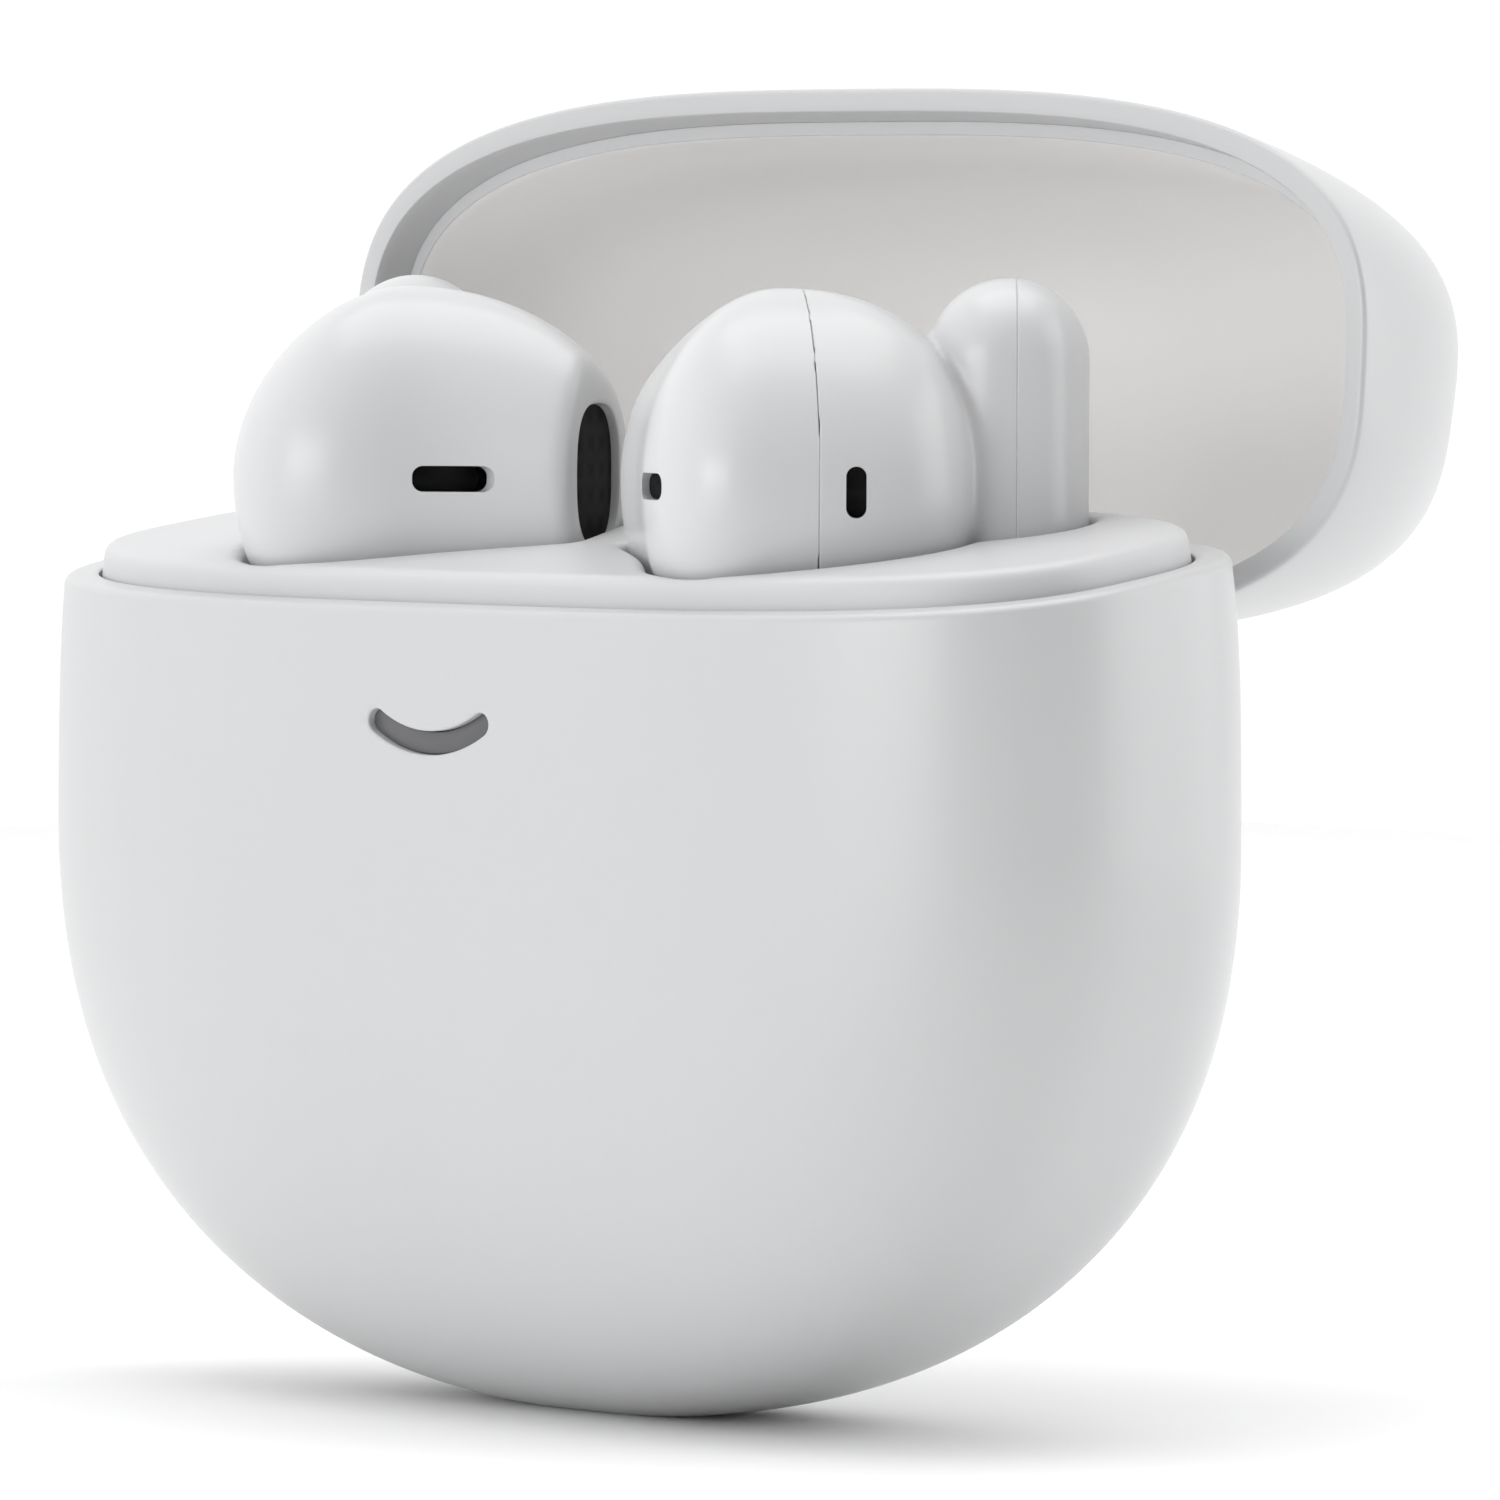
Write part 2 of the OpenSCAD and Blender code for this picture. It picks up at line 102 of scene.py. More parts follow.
# the tray, its pockets and what is fixed into it
TRAY_LIP, TRAY_DECK, TRAY_GAP = 1.1, 3.2, 0.13
SEAT_GAP = 0.25
POCKET_WALL, TUBE_WALL = 0.8, 1.1
PIN_SPACING, PIN_HOLE = 1.3, 0.72
SCREW_AT, SCREW_HOLE, SCREW_DEPTH = (4, 4.6), 0.55, 0.65
TRAY_MAGNET = ((24.0, -2.6, -3.45), (25.6, 2.6, -0.8))

# a bud in its own frame: z up the stem from the lid line, x from stem to head, -y to the ear
bat_low, bat_high = corners("right_bud_battery")
STEM = (bat_low[:2] + bat_high[:2]) / 2
STEM_R, STEM_TOP = 3.0, 10.8
STEM_LOW = corners("right_end_cap")[0][2] - SEAM
CAP_SEAM = STEM_LOW + 1.4
BUD_TURN = 225
BUD_WALL = 0.8
BUD_STEP = 0.2
HEAD = np.array([8.4, 0.0, 3.3])
HEAD_FRONT, HEAD_BACK, HEAD_SIDE, HEAD_EAR, HEAD_TALL = 5.1, 7.5, 6.6, 9.05, 7.1
HEAD_PLAN, HEAD_LOW = 2.55, 2.25
FRONT_POWER, BACK_POWER, SIDE_POWER, EAR_POWER = 1.95, 2.25, 1.8, 2.0
EAR_BEND, EAR_BEND_AT, EAR_BEND_POWER = 2.7, 7.5, 2.05
NECK_BLEND = 0.6

# the ear opening, the vents, and the planes where the bud's shells part
NOZZLE_TURN, NOZZLE_REACH = math.radians(22), 8.1
MOUTH, MOUTH_ACROSS, MOUTH_POWER = (2.0, 2.68), 0.35, 2.8
GRILLE_BACK, GRILLE_THICK, GRILLE_CROWN = 0.5, 0.15, 0.12
VENT_HALF_TALL, VENT_ROUND, VENT_MESH_THICK = 0.49, 0.4, (-0.05, 0.12)
# each front vent's turn from the head's front, its half length and how far out its mesh sits
FRONT_VENT = {"left": (math.radians(-20), 1.4, 4.3), "right": (math.radians(34), 1.3, 4.75)}
FRONT_VENT_AT = np.array([8.4, 0.0, 3.15])
SIDE_VENT_AT, SIDE_VENT, SIDE_VENT_MESH = (5.57, 0, 3.02), (0.37, 0.94, 0.365), 5.6
MESH_GAP = 0.02
PART, PART_TURN = np.array([7.62, 0.0, 3.1]), math.radians(6.4)
SPLIT, HALF_GAP = -0.3, 0.01


# ---- outlines ----
def signed_pow(value, power):
    return np.sign(value) * np.abs(value) ** power


def plan_angles(count, power, ratio):
    """Angles that space a superellipse's points evenly along its length."""
    t = np.linspace(0, 2 * np.pi, 7201)  # fine enough that steps along it are nearly straight
    x = signed_pow(np.cos(t), 2 / power)
    y = ratio * signed_pow(np.sin(t), 2 / power)
    run = np.concatenate([[0], np.cumsum(np.hypot(np.diff(x), np.diff(y)))])
    return np.interp(np.linspace(0, run[-1], count, endpoint=False), run, t)


AROUND = plan_angles(ROUND_POINTS, PLAN_POWER, HALF_DEPTH / HALF_WIDTH)
PLAN_X = signed_pow(np.cos(AROUND), 2 / PLAN_POWER)
PLAN_Y = signed_pow(np.sin(AROUND), 2 / PLAN_POWER)


def bulge(full, dist, reach, power):
    """A superellipse's half width at a distance from its widest level."""
    return full * np.maximum(0, 1 - np.minimum(1, dist / reach) ** power) ** (1 / power)


def half_at(z, full, level, low, top, powers):
    """Half width at height z of a form that is widest at level and closes at low and top."""
    z = np.asarray(z, float)
    under = bulge(full, np.maximum(0, level - z), level - low, powers[0])
    over = bulge(full, np.maximum(0, z - level), top - level, powers[1])
    return np.where(z < level, under, over)


def pebble_row(inset, z):
    """Points round the case's outer form, set in by inset, at heights z."""
    low, top = -FOOT_TRIM + inset, CASE_HEIGHT - inset
    z = np.broadcast_to(np.clip(z, low + 0.001, top - 0.001), AROUND.shape)
    a = half_at(z, HALF_WIDTH - inset, WIDE_LEVEL, low, top, POWERS_X)
    b = half_at(z, HALF_DEPTH - inset, DEEP_LEVEL, low, top, POWERS_Y)
    return np.stack([a * PLAN_X, b * PLAN_Y, z], 1)


def on_rim(row, height):
    """A row that lies at a height over the sloping lid line."""
    z = np.full(AROUND.shape, SEAM + height)
    for _ in range(12):  # settles well within this many turns
        z = SEAM + height / math.cos(RIM_TILT) + row(z)[:, 1] * math.tan(RIM_TILT)
    return row(z)


def rim_to_case(p):
    """From the lid line's own frame to the case's."""
    c, s = math.cos(RIM_TILT), math.sin(RIM_TILT)
    x, y, z = np.moveaxis(np.asarray(p, float), -1, 0)
    return np.stack([x, y * c - z * s, SEAM + y * s + z * c], -1)


def case_to_rim(p):
    """From the case's frame to the lid line's own."""
    c, s = math.cos(RIM_TILT), math.sin(RIM_TILT)
    z = p[..., 2] - SEAM
    return np.stack([p[..., 0], p[..., 1] * c + z * s, -p[..., 1] * s + z * c], -1)


# ---- mesh helpers ----
def make_object(name, verts, faces, smooth_angle=30):
    mesh = bpy.data.meshes.new(name)
    mesh.from_pydata((np.asarray(verts) * MM).tolist(), [], [tuple(map(int, f)) for f in faces])
    mesh.update()
    obj = bpy.data.objects.new(name, mesh)
    bpy.context.scene.collection.objects.link(obj)
    finish_mesh(obj, smooth_angle)
    return obj


def finish_mesh(obj, smooth_angle=30):
    """Weld the mesh, face it outwards and shade it smooth except over sharp edges."""
    bm = bmesh.new()
    bm.from_mesh(obj.data)
    bmesh.ops.remove_doubles(bm, verts=bm.verts, dist=1e-7)
    bmesh.ops.dissolve_degenerate(bm, edges=bm.edges, dist=1e-7)
    bmesh.ops.recalc_face_normals(bm, faces=bm.faces)
    for f in bm.faces:
        f.smooth = True
    limit = math.radians(smooth_angle)
    for e in bm.edges:
        if len(e.link_faces) == 2:
            e.smooth = e.calc_face_angle(0) < limit
    bm.to_mesh(obj.data)
    bm.free()


def loft(rows, close_first=True, close_last=True):
    """Faces over rows of equal length, each a closed ring, with a fan at either end."""
    count = len(rows[0])
    verts = np.concatenate(rows).tolist()
    i = np.arange(count)
    j = (i + 1) % count
    faces = []
    for k in range(len(rows) - 1):
        p, q = k * count, (k + 1) * count
        faces += np.stack([p + i, p + j, q + j, q + i], 1).tolist()
    if close_first:
        verts.append(np.mean(rows[0], 0))
        faces += np.stack([i, np.full(count, len(verts) - 1), j], 1).tolist()
    if close_last:
        verts.append(np.mean(rows[-1], 0))
        last = (len(rows) - 1) * count
        faces += np.stack([last + i, last + j, np.full(count, len(verts) - 1)], 1).tolist()
    return np.array([list(v) for v in verts]), faces


def cut(obj, cutter):
    """Take the cutter's form out of an object and remove the cutter."""
    mod = obj.modifiers.new("cut", "BOOLEAN")
    mod.operation = "DIFFERENCE"
    mod.solver = "EXACT"
    mod.object = cutter
    bake(obj)
    bpy.data.objects.remove(cutter, do_unlink=True)
    finish_mesh(obj)


def bake(obj):
    """Apply an object's modifiers to its mesh."""
    deps = bpy.context.evaluated_depsgraph_get()
    deps.update()
    mesh = bpy.data.meshes.new_from_object(obj.evaluated_get(deps))
    obj.modifiers.clear()
    old = obj.data
    obj.data = mesh
    bpy.data.meshes.remove(old)


# ---- implicit surfaces ----
def tilt_free(field, p):
    """A field over its own slope, which is close to a distance near the surface."""
    probe = 0.02
    value = field(p)
    slope = np.zeros(p.shape)
    for k in range(3):
        step = np.zeros(3)
        step[k] = probe
        slope[..., k] = (field(p + step) - value) / probe
    return value / np.maximum(np.linalg.norm(slope, axis=-1), 1e-3)


def round_union(a, b, r):
    """Two fields joined, with a fillet of about r where they meet."""
    h = np.clip(0.5 + 0.5 * (b - a) / r, 0, 1)
    return b + (a - b) * h - r * h * (1 - h)


def round_common(a, b, r):
    """What two fields share, with its edge rounded by about r."""
    return -round_union(-a, -b, r)


def sample_near_surface(field, low, step, n):
    """Field values on a grid: a coarse pass everywhere and a fine one near the surface."""
    coarse = 4
    cn = n // coarse + 2
    axes = [low[k] + step * coarse * np.arange(cn[k]) for k in range(3)]
    rough = field(np.stack(np.meshgrid(*axes, indexing="ij"), -1))
    nearest = [np.minimum((np.arange(n[k]) + coarse // 2) // coarse, cn[k] - 1) for k in range(3)]
    values = rough[np.ix_(*nearest)].astype(np.float32)
    at = np.argwhere(np.abs(values) < step * coarse * 1.15)
    for part in np.array_split(at, max(1, len(at) // 400000)):
        values[tuple(part.T)] = field(low + step * part)
    return values


def cells_round(at, others, shifts):
    """The cells that share each grid edge, one list of cells for each shift."""
    for shift in shifts:
        cell = at.copy()
        cell[:, others[0]] -= shift[0]
        cell[:, others[1]] -= shift[1]
        yield cell


def relax(verts, faces):
    """Each corner moves half way to the mean of its neighbours."""
    total, hits = np.zeros(verts.shape), np.zeros((len(verts), 1))
    for k in range(4):
        a, b = faces[:, k], faces[:, (k + 1) % 4]
        for p, q in ((a, b), (b, a)):
            np.add.at(total, p, verts[q])
            np.add.at(hits, p, 1)
    return 0.5 * verts + 0.5 * total / np.maximum(hits, 1)


def settle_onto(field, verts, step):
    """Each corner moves along the field's slope to the zero surface, by half a step at most."""
    value = field(verts)
    slope = np.zeros(verts.shape)
    probe = step * 0.2
    for k in range(3):
        d = np.zeros(3)
        d[k] = probe
        slope[:, k] = (field(verts + d) - field(verts - d)) / (2 * probe)
    move = (value / np.maximum((slope * slope).sum(1), 0.05))[:, None] * slope
    long = np.linalg.norm(move, axis=1)
    return verts - move * (np.minimum(long, step * 0.5) / np.maximum(long, 1e-9))[:, None]


def surface_of(field, low, high, step):
    """Quads over the zero surface of field, with the corners settled onto it."""
    low, high = np.asarray(low, float), np.asarray(high, float)
    n = np.ceil((high - low) / step).astype(int) + 1
    values = sample_near_surface(field, low, step, n)
    inside = values < 0
    total = np.zeros(tuple(n) + (3,), np.float32)
    hits = np.zeros(tuple(n), np.int16)
    crossings = []
    for axis in range(3):
        first, second = [slice(None)] * 3, [slice(None)] * 3
        first[axis], second[axis] = slice(0, -1), slice(1, None)
        first, second = tuple(first), tuple(second)
        flip = inside[first] != inside[second]
        at = np.argwhere(flip)
        a, b = values[first][flip], values[second][flip]
        point = at.astype(np.float32)
        point[:, axis] += a / (a - b)
        others = [k for k in range(3) if k != axis]
        for cell in cells_round(at, others, itertools.product((0, 1), (0, 1))):
            ok = (cell >= 0).all(1)
            index = tuple(cell[ok].T)
            np.add.at(total, index, point[ok])
            np.add.at(hits, index, 1)
        side_at = at[:, others]
        keep = ((side_at > 0) & (side_at < n[others] - 1)).all(1)
        crossings.append((axis, others, at[keep], inside[first][tuple(at[keep].T)]))
    cells = np.argwhere(hits > 0)
    number = -np.ones(tuple(n), np.int64)
    number[tuple(cells.T)] = np.arange(len(cells))
    verts = low + step * total[tuple(cells.T)] / hits[tuple(cells.T)][:, None]
    faces = []
    for axis, others, at, within in crossings:
        ring = [number[tuple(cell.T)] for cell in cells_round(at, others, ((0, 0), (1, 0), (1, 1), (0, 1)))]
        quad = np.stack(ring, 1)
        outward = within if axis != 1 else ~within
        quad[~outward] = quad[~outward][:, ::-1]
        faces.append(quad)
    faces = np.concatenate(faces)
    for _ in range(2):
        verts = settle_onto(field, relax(verts, faces), step)
    for _ in range(2):
        verts = settle_onto(field, verts, step)
    return verts, faces


# ---- materials ----
def node_material(name):
    mat = bpy.data.materials.new(name)
    mat.use_nodes = True
    tree = mat.node_tree
    tree.nodes.clear()
    out = tree.nodes.new("ShaderNodeOutputMaterial")
    shader = tree.nodes.new("ShaderNodeBsdfPrincipled")
    tree.links.new(shader.outputs[0], out.inputs[0])
    return mat, tree, shader


def add(tree, kind, **values):
    """A new node, with values given by the names of its settings or inputs."""
    node = tree.nodes.new(kind)
    for key, value in values.items():
        if hasattr(node, key):
            setattr(node, key, value)
        else:
            node.inputs[key].default_value = value
    return node


def moulded(name, colour, rough, cloudy=0.012, grain=0.02, coat=0.0, bump=0.05):
    """Moulded plastic: a faint cloudiness in the colour, uneven gloss and a fine surface grain."""
    mat, tree, shader = node_material(name)
    coords = add(tree, "ShaderNodeTexCoord")
    cloud = add(tree, "ShaderNodeTexNoise", Scale=70.0, Detail=3.0)
    fine = add(tree, "ShaderNodeTexNoise", Scale=5200.0, Detail=4.0, Roughness=0.6)
    for node in (cloud, fine):
        tree.links.new(coords.outputs["Object"], node.inputs["Vector"])
    mix = add(tree, "ShaderNodeMix", data_type="RGBA")
    mix.inputs[6].default_value = (*[c * (1 - cloudy) for c in colour], 1)
    mix.inputs[7].default_value = (*[min(1, c * (1 + cloudy)) for c in colour], 1)
    tree.links.new(cloud.outputs["Fac"], mix.inputs[0])
    tree.links.new(mix.outputs[2], shader.inputs["Base Color"])
    span = add(tree, "ShaderNodeMapRange")
    span.inputs["To Min"].default_value = rough - 0.008
    span.inputs["To Max"].default_value = rough + 0.012
    tree.links.new(fine.outputs["Fac"], span.inputs["Value"])
    tree.links.new(span.outputs["Result"], shader.inputs["Roughness"])
    relief = add(tree, "ShaderNodeBump", Strength=bump, Distance=grain * MM)
    tree.links.new(fine.outputs["Fac"], relief.inputs["Height"])
    tree.links.new(relief.outputs["Normal"], shader.inputs["Normal"])
    shader.inputs["IOR"].default_value = 1.49
    shader.inputs["Coat Weight"].default_value = coat
    shader.inputs["Coat Roughness"].default_value = 0.2
    return mat


def metal(name, colour, rough, brushed=0.0):
    """Metal with uneven gloss, drawn out along z where it is brushed."""
    mat, tree, shader = node_material(name)
    coords = add(tree, "ShaderNodeTexCoord")
    stretch = add(tree, "ShaderNodeMapping")
    stretch.inputs["Scale"].default_value = (1, 1, 1 + 20 * brushed)
    noise = add(tree, "ShaderNodeTexNoise", Scale=1500.0, Detail=3.0)
    tree.links.new(coords.outputs["Object"], stretch.inputs["Vector"])
    tree.links.new(stretch.outputs[0], noise.inputs["Vector"])
    span = add(tree, "ShaderNodeMapRange")
    span.inputs["To Min"].default_value = rough - 0.08
    span.inputs["To Max"].default_value = rough + 0.1
    tree.links.new(noise.outputs["Fac"], span.inputs["Value"])
    tree.links.new(span.outputs["Result"], shader.inputs["Roughness"])
    shader.inputs["Base Color"].default_value = (*colour, 1)
    shader.inputs["Metallic"].default_value = 1.0
    relief = add(tree, "ShaderNodeBump", Strength=0.15, Distance=0.01 * MM)
    tree.links.new(noise.outputs["Fac"], relief.inputs["Height"])
    tree.links.new(relief.outputs["Normal"], shader.inputs["Normal"])
    return mat


def mesh_cloth(name):
    """Woven mesh: two crossed sets of wires from wave bands, in a near-black that is partly the mesh's own
    dark colour and partly painted shade deep in its openings.
    """
    pitch = 0.16
    mat, tree, shader = node_material(name)
    coords = add(tree, "ShaderNodeTexCoord")
    wires = []
    for axis in ("X", "Z"):
        turn = add(tree, "ShaderNodeMapping")
        turn.inputs["Rotation"].default_value = (0, 0, math.radians(45))
        wave = add(tree, "ShaderNodeTexWave", wave_type="BANDS", bands_direction=axis,
                   Scale=1000 / pitch / 20, Distortion=0.0)
        tree.links.new(coords.outputs["Object"], turn.inputs["Vector"])
        tree.links.new(turn.outputs[0], wave.inputs["Vector"])
        wires.append(wave)
    top = add(tree, "ShaderNodeMath", operation="MAXIMUM")
    tree.links.new(wires[0].outputs["Fac"], top.inputs[0])
    tree.links.new(wires[1].outputs["Fac"], top.inputs[1])
    mix = add(tree, "ShaderNodeMix", data_type="RGBA")
    # painted shade: both wire tones sit well below the black plastic's, so the recessed mesh also carries the
    # shade inside the vents and the ear opening
    mix.inputs[6].default_value = (0.002, 0.002, 0.002, 1)
    mix.inputs[7].default_value = (0.012, 0.012, 0.013, 1)
    tree.links.new(top.outputs[0], mix.inputs[0])
    tree.links.new(mix.outputs[2], shader.inputs["Base Color"])
    shader.inputs["Metallic"].default_value = 0.0
    shader.inputs["Roughness"].default_value = 0.7
    shader.inputs["Specular IOR Level"].default_value = 0.15
    relief = add(tree, "ShaderNodeBump", Strength=0.6, Distance=0.04 * MM)
    tree.links.new(top.outputs[0], relief.inputs["Height"])
    tree.links.new(relief.outputs["Normal"], shader.inputs["Normal"])
    return mat


steel = metal("brushed_steel", (0.6, 0.61, 0.63), rough=0.32, brushed=1.0)
FINISHES = {
    "case_plastic": moulded("case_plastic_satin", (0.56, 0.564, 0.571), rough=0.34, coat=0.12),
    "tray_plastic": moulded("tray_plastic_satin", (0.6, 0.604, 0.611), rough=0.4, grain=0.03),
    # painted light: the liner is the same white plastic as the shell, made much paler so the shaded hollow of
    # the lid looks brightly lit
    "liner_plastic": moulded("liner_plastic_painted_light", (0.93, 0.92, 0.91), rough=0.42),
    "bud_plastic": moulded("bud_plastic_gloss", (0.62, 0.624, 0.632), rough=0.3, coat=0.15, bump=0.03),
    "light_window": moulded("smoked_light_window", (0.1, 0.1, 0.107), rough=0.3, coat=0.2),
    "black_plastic": moulded("black_plastic", (0.02, 0.02, 0.022), rough=0.45),
    "circuit_board": moulded("circuit_board_mask", (0.03, 0.16, 0.07), rough=0.35),
    "led_body": moulded("clear_led_body", (0.75, 0.74, 0.62), rough=0.2),
    "battery_foil": metal("battery_foil", (0.62, 0.64, 0.67), rough=0.35),
    "magnet_nickel": metal("nickel_plate", (0.66, 0.66, 0.68), rough=0.2),
    "gold_contact": metal("gold_plate", (0.83, 0.62, 0.28), rough=0.24),
    "speaker_mesh": mesh_cloth("woven_speaker_mesh_and_painted_shade"),
    "driver_metal": steel,
    "steel": steel,
}
for entry in frame["record"]["subparts"]:
    obj = frame["nodes"][entry["node"]]
    obj.data.materials.clear()
    obj.data.materials.append(FINISHES[entry["material_slot"]])


def dress(obj, slot_name, body, *nodes):
    """Give a piece its finish, the body it rides on and the CAD nodes it stands in for."""
    obj.data.materials.clear()
    obj.data.materials.append(FINISHES[slot_name])
    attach(obj, body)
    if nodes:
        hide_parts(*nodes)


# ---- case shell ----
def roll_back(verts):
    """The back edge is round about the hinge pin, with a shallow seat under it for the open lid."""
    q = case_to_rim(verts)
    y, z = q[:, 1] - PIN_BACK, q[:, 2] - PIN_UP
    r = np.hypot(y, z)
    over = (y > 0) & (z > SEAT_FROM) & (r > EDGE_ROUND)
    scale = np.where(over, EDGE_ROUND / np.maximum(r, 1e-6), 1.0)
    y, z = y * scale, z * scale
    start = EDGE_ROUND - 0.05
    seat = start + (SEAT_BACK - start) * (z - SEAT_FROM) / (SEAT_LOW - SEAT_FROM)
    fade = np.clip((z - SEAT_LOW) / 0.12, 0, 1)
    low = (z <= SEAT_FROM) & (z > SEAT_LOW) & (y > seat) & (np.abs(q[:, 0]) < SEAT_HALF)
    y = np.where(low, y + (seat - y) * fade, y)
    return rim_to_case(np.stack([q[:, 0], y + PIN_BACK, z + PIN_UP], 1))


def shell_row(inset):
    """The pebble's row at any height, set in by inset."""
    return lambda z: pebble_row(inset, z)


def shell_rows():
    """Rows from the foot up the outside, over the rounded edge and down the inside."""
    edge = on_rim(shell_row(0), -RIM_FILLET)[:, 2]
    rows = [pebble_row(0, 0.0) * [k, k, 1] for k in (0.35, 0.7, 0.9)]
    for u in np.linspace(0, 1, 70):
        rows.append(pebble_row(0, (edge - RIM_BAND) * (1 - math.cos(math.pi / 2 * u))))
    for u in np.linspace(0, 1, 36)[1:]:
        rows.append(pebble_row(0, edge - RIM_BAND * (1 - u)))
    for turn in np.linspace(0, math.pi / 2, 7)[1:]:
        inset = RIM_FILLET * (1 - math.cos(turn))
        rows.append(on_rim(shell_row(inset), -RIM_FILLET * (1 - math.sin(turn))))
    for inset in np.linspace(RIM_FILLET, RIM_WALL - 0.1, 5)[1:]:
        rows.append(on_rim(shell_row(inset), 0.0))
    rows.append(on_rim(shell_row(RIM_WALL - 0.03), -0.03))
    floor = RIM_WALL - FOOT_TRIM
    inner = on_rim(shell_row(RIM_WALL), -0.1)[:, 2] - floor
    for u in np.linspace(0, 1, 30):
        rows.append(pebble_row(RIM_WALL, floor + 0.02 + inner * math.cos(math.pi / 2 * u)))
    return rows


BOX_FACES = [(0, 1, 3, 2), (4, 6, 7, 5), (0, 4, 5, 1), (2, 3, 7, 6), (0, 2, 6, 4), (1, 5, 7, 3)]


def pin_box(name, low, high):
    """A box given from the hinge pin in the lid line's frame."""
    pts = np.array(list(itertools.product(*zip(low, high))), float)
    return make_object(name, rim_to_case(pts + [0, PIN_BACK, PIN_UP]), BOX_FACES)


verts, faces = loft(shell_rows())
case_shell = make_object("case_shell", roll_back(verts), faces)
cut(case_shell, pin_box("bay_cutter", (-BAY_HALF, -3, -2.1), (BAY_HALF, 5, 5)))


def front_y(x, z):
    """Depth of the case's front face at x, z."""
    a = half_at(z, HALF_WIDTH, WIDE_LEVEL, -FOOT_TRIM, CASE_HEIGHT, POWERS_X)
    b = half_at(z, HALF_DEPTH, DEEP_LEVEL, -FOOT_TRIM, CASE_HEIGHT, POWERS_Y)
    return -b * (1 - np.abs(x / a) ** PLAN_POWER) ** (1 / PLAN_POWER)


guide_low, guide_high = corners("light_guide")
ARC_R, ARC_THICK, ARC_TIP = 5.55, 0.88, 0.42
ARC_CENTRE = np.array([0, guide_low[2] + ARC_THICK / 2 + ARC_R])
ARC_HALF = math.asin((guide_high[0] - ARC_TIP) / ARC_R)


def arc_outline(grow):
    """A smile-shaped stadium: an arc of constant thickness with round tips, in x and z."""
    r = ARC_THICK / 2 + grow
    pts = []
    for side in (1, -1):
        for t in np.linspace(-ARC_HALF, ARC_HALF, 40) * side:
            pts.append(ARC_CENTRE + (ARC_R + side * r) * np.array([math.sin(t), -math.cos(t)]))
        tip = side * ARC_HALF
        away = np.array([math.sin(tip), -math.cos(tip)])
        along = side * np.array([math.cos(tip), math.sin(tip)])
        for turn in np.linspace(0, math.pi, 10)[1:-1]:
            round_tip = side * away * math.cos(turn) + along * math.sin(turn)
            pts.append(ARC_CENTRE + ARC_R * away + r * round_tip)
    return np.array(pts)


def on_front(name, outline, levels):
    """Rings of an outline in x and z laid on the front face: each level is (depth behind it, growth)."""
    ahead = np.roll(outline, -1, 0) - np.roll(outline, 1, 0)
    away = np.stack([ahead[:, 1], -ahead[:, 0]], 1)
    away /= np.maximum(np.linalg.norm(away, axis=1, keepdims=True), 1e-9)
    if ((outline - outline.mean(0)) * away).sum() < 0:
        away = -away
    rows = []
    for depth, grow in levels:
        p = outline + away * grow
        rows.append(np.stack([p[:, 0], front_y(p[:, 0], p[:, 1]) + depth, p[:, 1]], 1))
    verts, faces = loft(rows, False, False)
    ends = (range(len(outline)), range(len(verts) - len(outline), len(verts))[::-1])
    return make_object(name, verts, faces + [tuple(end) for end in ends])


slot_levels = [(2.2, 0.0), (0.09, 0.0), (0.05, 0.012), (0.02, 0.045), (0.0, 0.09), (-0.4, 0.3)]
cut(case_shell, on_front("slot_cutter", arc_outline(0.0), slot_levels))
window_levels = [(1.4, 0.0), (0.34, 0.0), (0.31, -0.02), (0.3, -0.05)]
light_window = on_front("light_window", arc_outline(-0.03), window_levels)

usb_low, usb_high = corners("usb_shell")
USB_HALF_X, USB_HALF_Z = usb_high[0], (usb_high[2] - usb_low[2]) / 2
USB_CENTRE = np.array([0, (usb_high[2] + usb_low[2]) / 2])
PORT_GAP = 0.2


def stadium(half_x, half_z, centre):
    """A bar with round ends, as points in x and z."""
    pts = []
    for side, start in ((1, -math.pi / 2), (-1, math.pi / 2)):
        for turn in np.linspace(start, start + math.pi, 15):
            pts.append((side * (half_x - half_z) + half_z * math.cos(turn), half_z * math.sin(turn)))
    return np.array(pts) + centre


def port_cutter():
    """The port's opening through the back face, with a rounded edge."""
    outline = stadium(USB_HALF_X + PORT_GAP, USB_HALF_Z + PORT_GAP, USB_CENTRE)
    straight = np.array([USB_HALF_X - USB_HALF_Z, 0])
    away = outline - USB_CENTRE
    away -= np.clip(away, -straight, straight)
    away /= np.linalg.norm(away, axis=1, keepdims=True)
    rows = []
    for depth, grow in ((3.5, 0), (0.3, 0), (0.18, 0.03), (0.07, 0.12), (0.0, 0.28), (-0.6, 0.6)):
        p = outline + away * grow
        rows.append(np.stack([p[:, 0], -front_y(p[:, 0], p[:, 1]) - depth, p[:, 1]], 1))
    return make_object("port_cutter", *loft(rows))


cut(case_shell, port_cutter())
dress(case_shell, "case_plastic", "case", "body_shell")
dress(light_window, "light_window", "case", "light_guide")


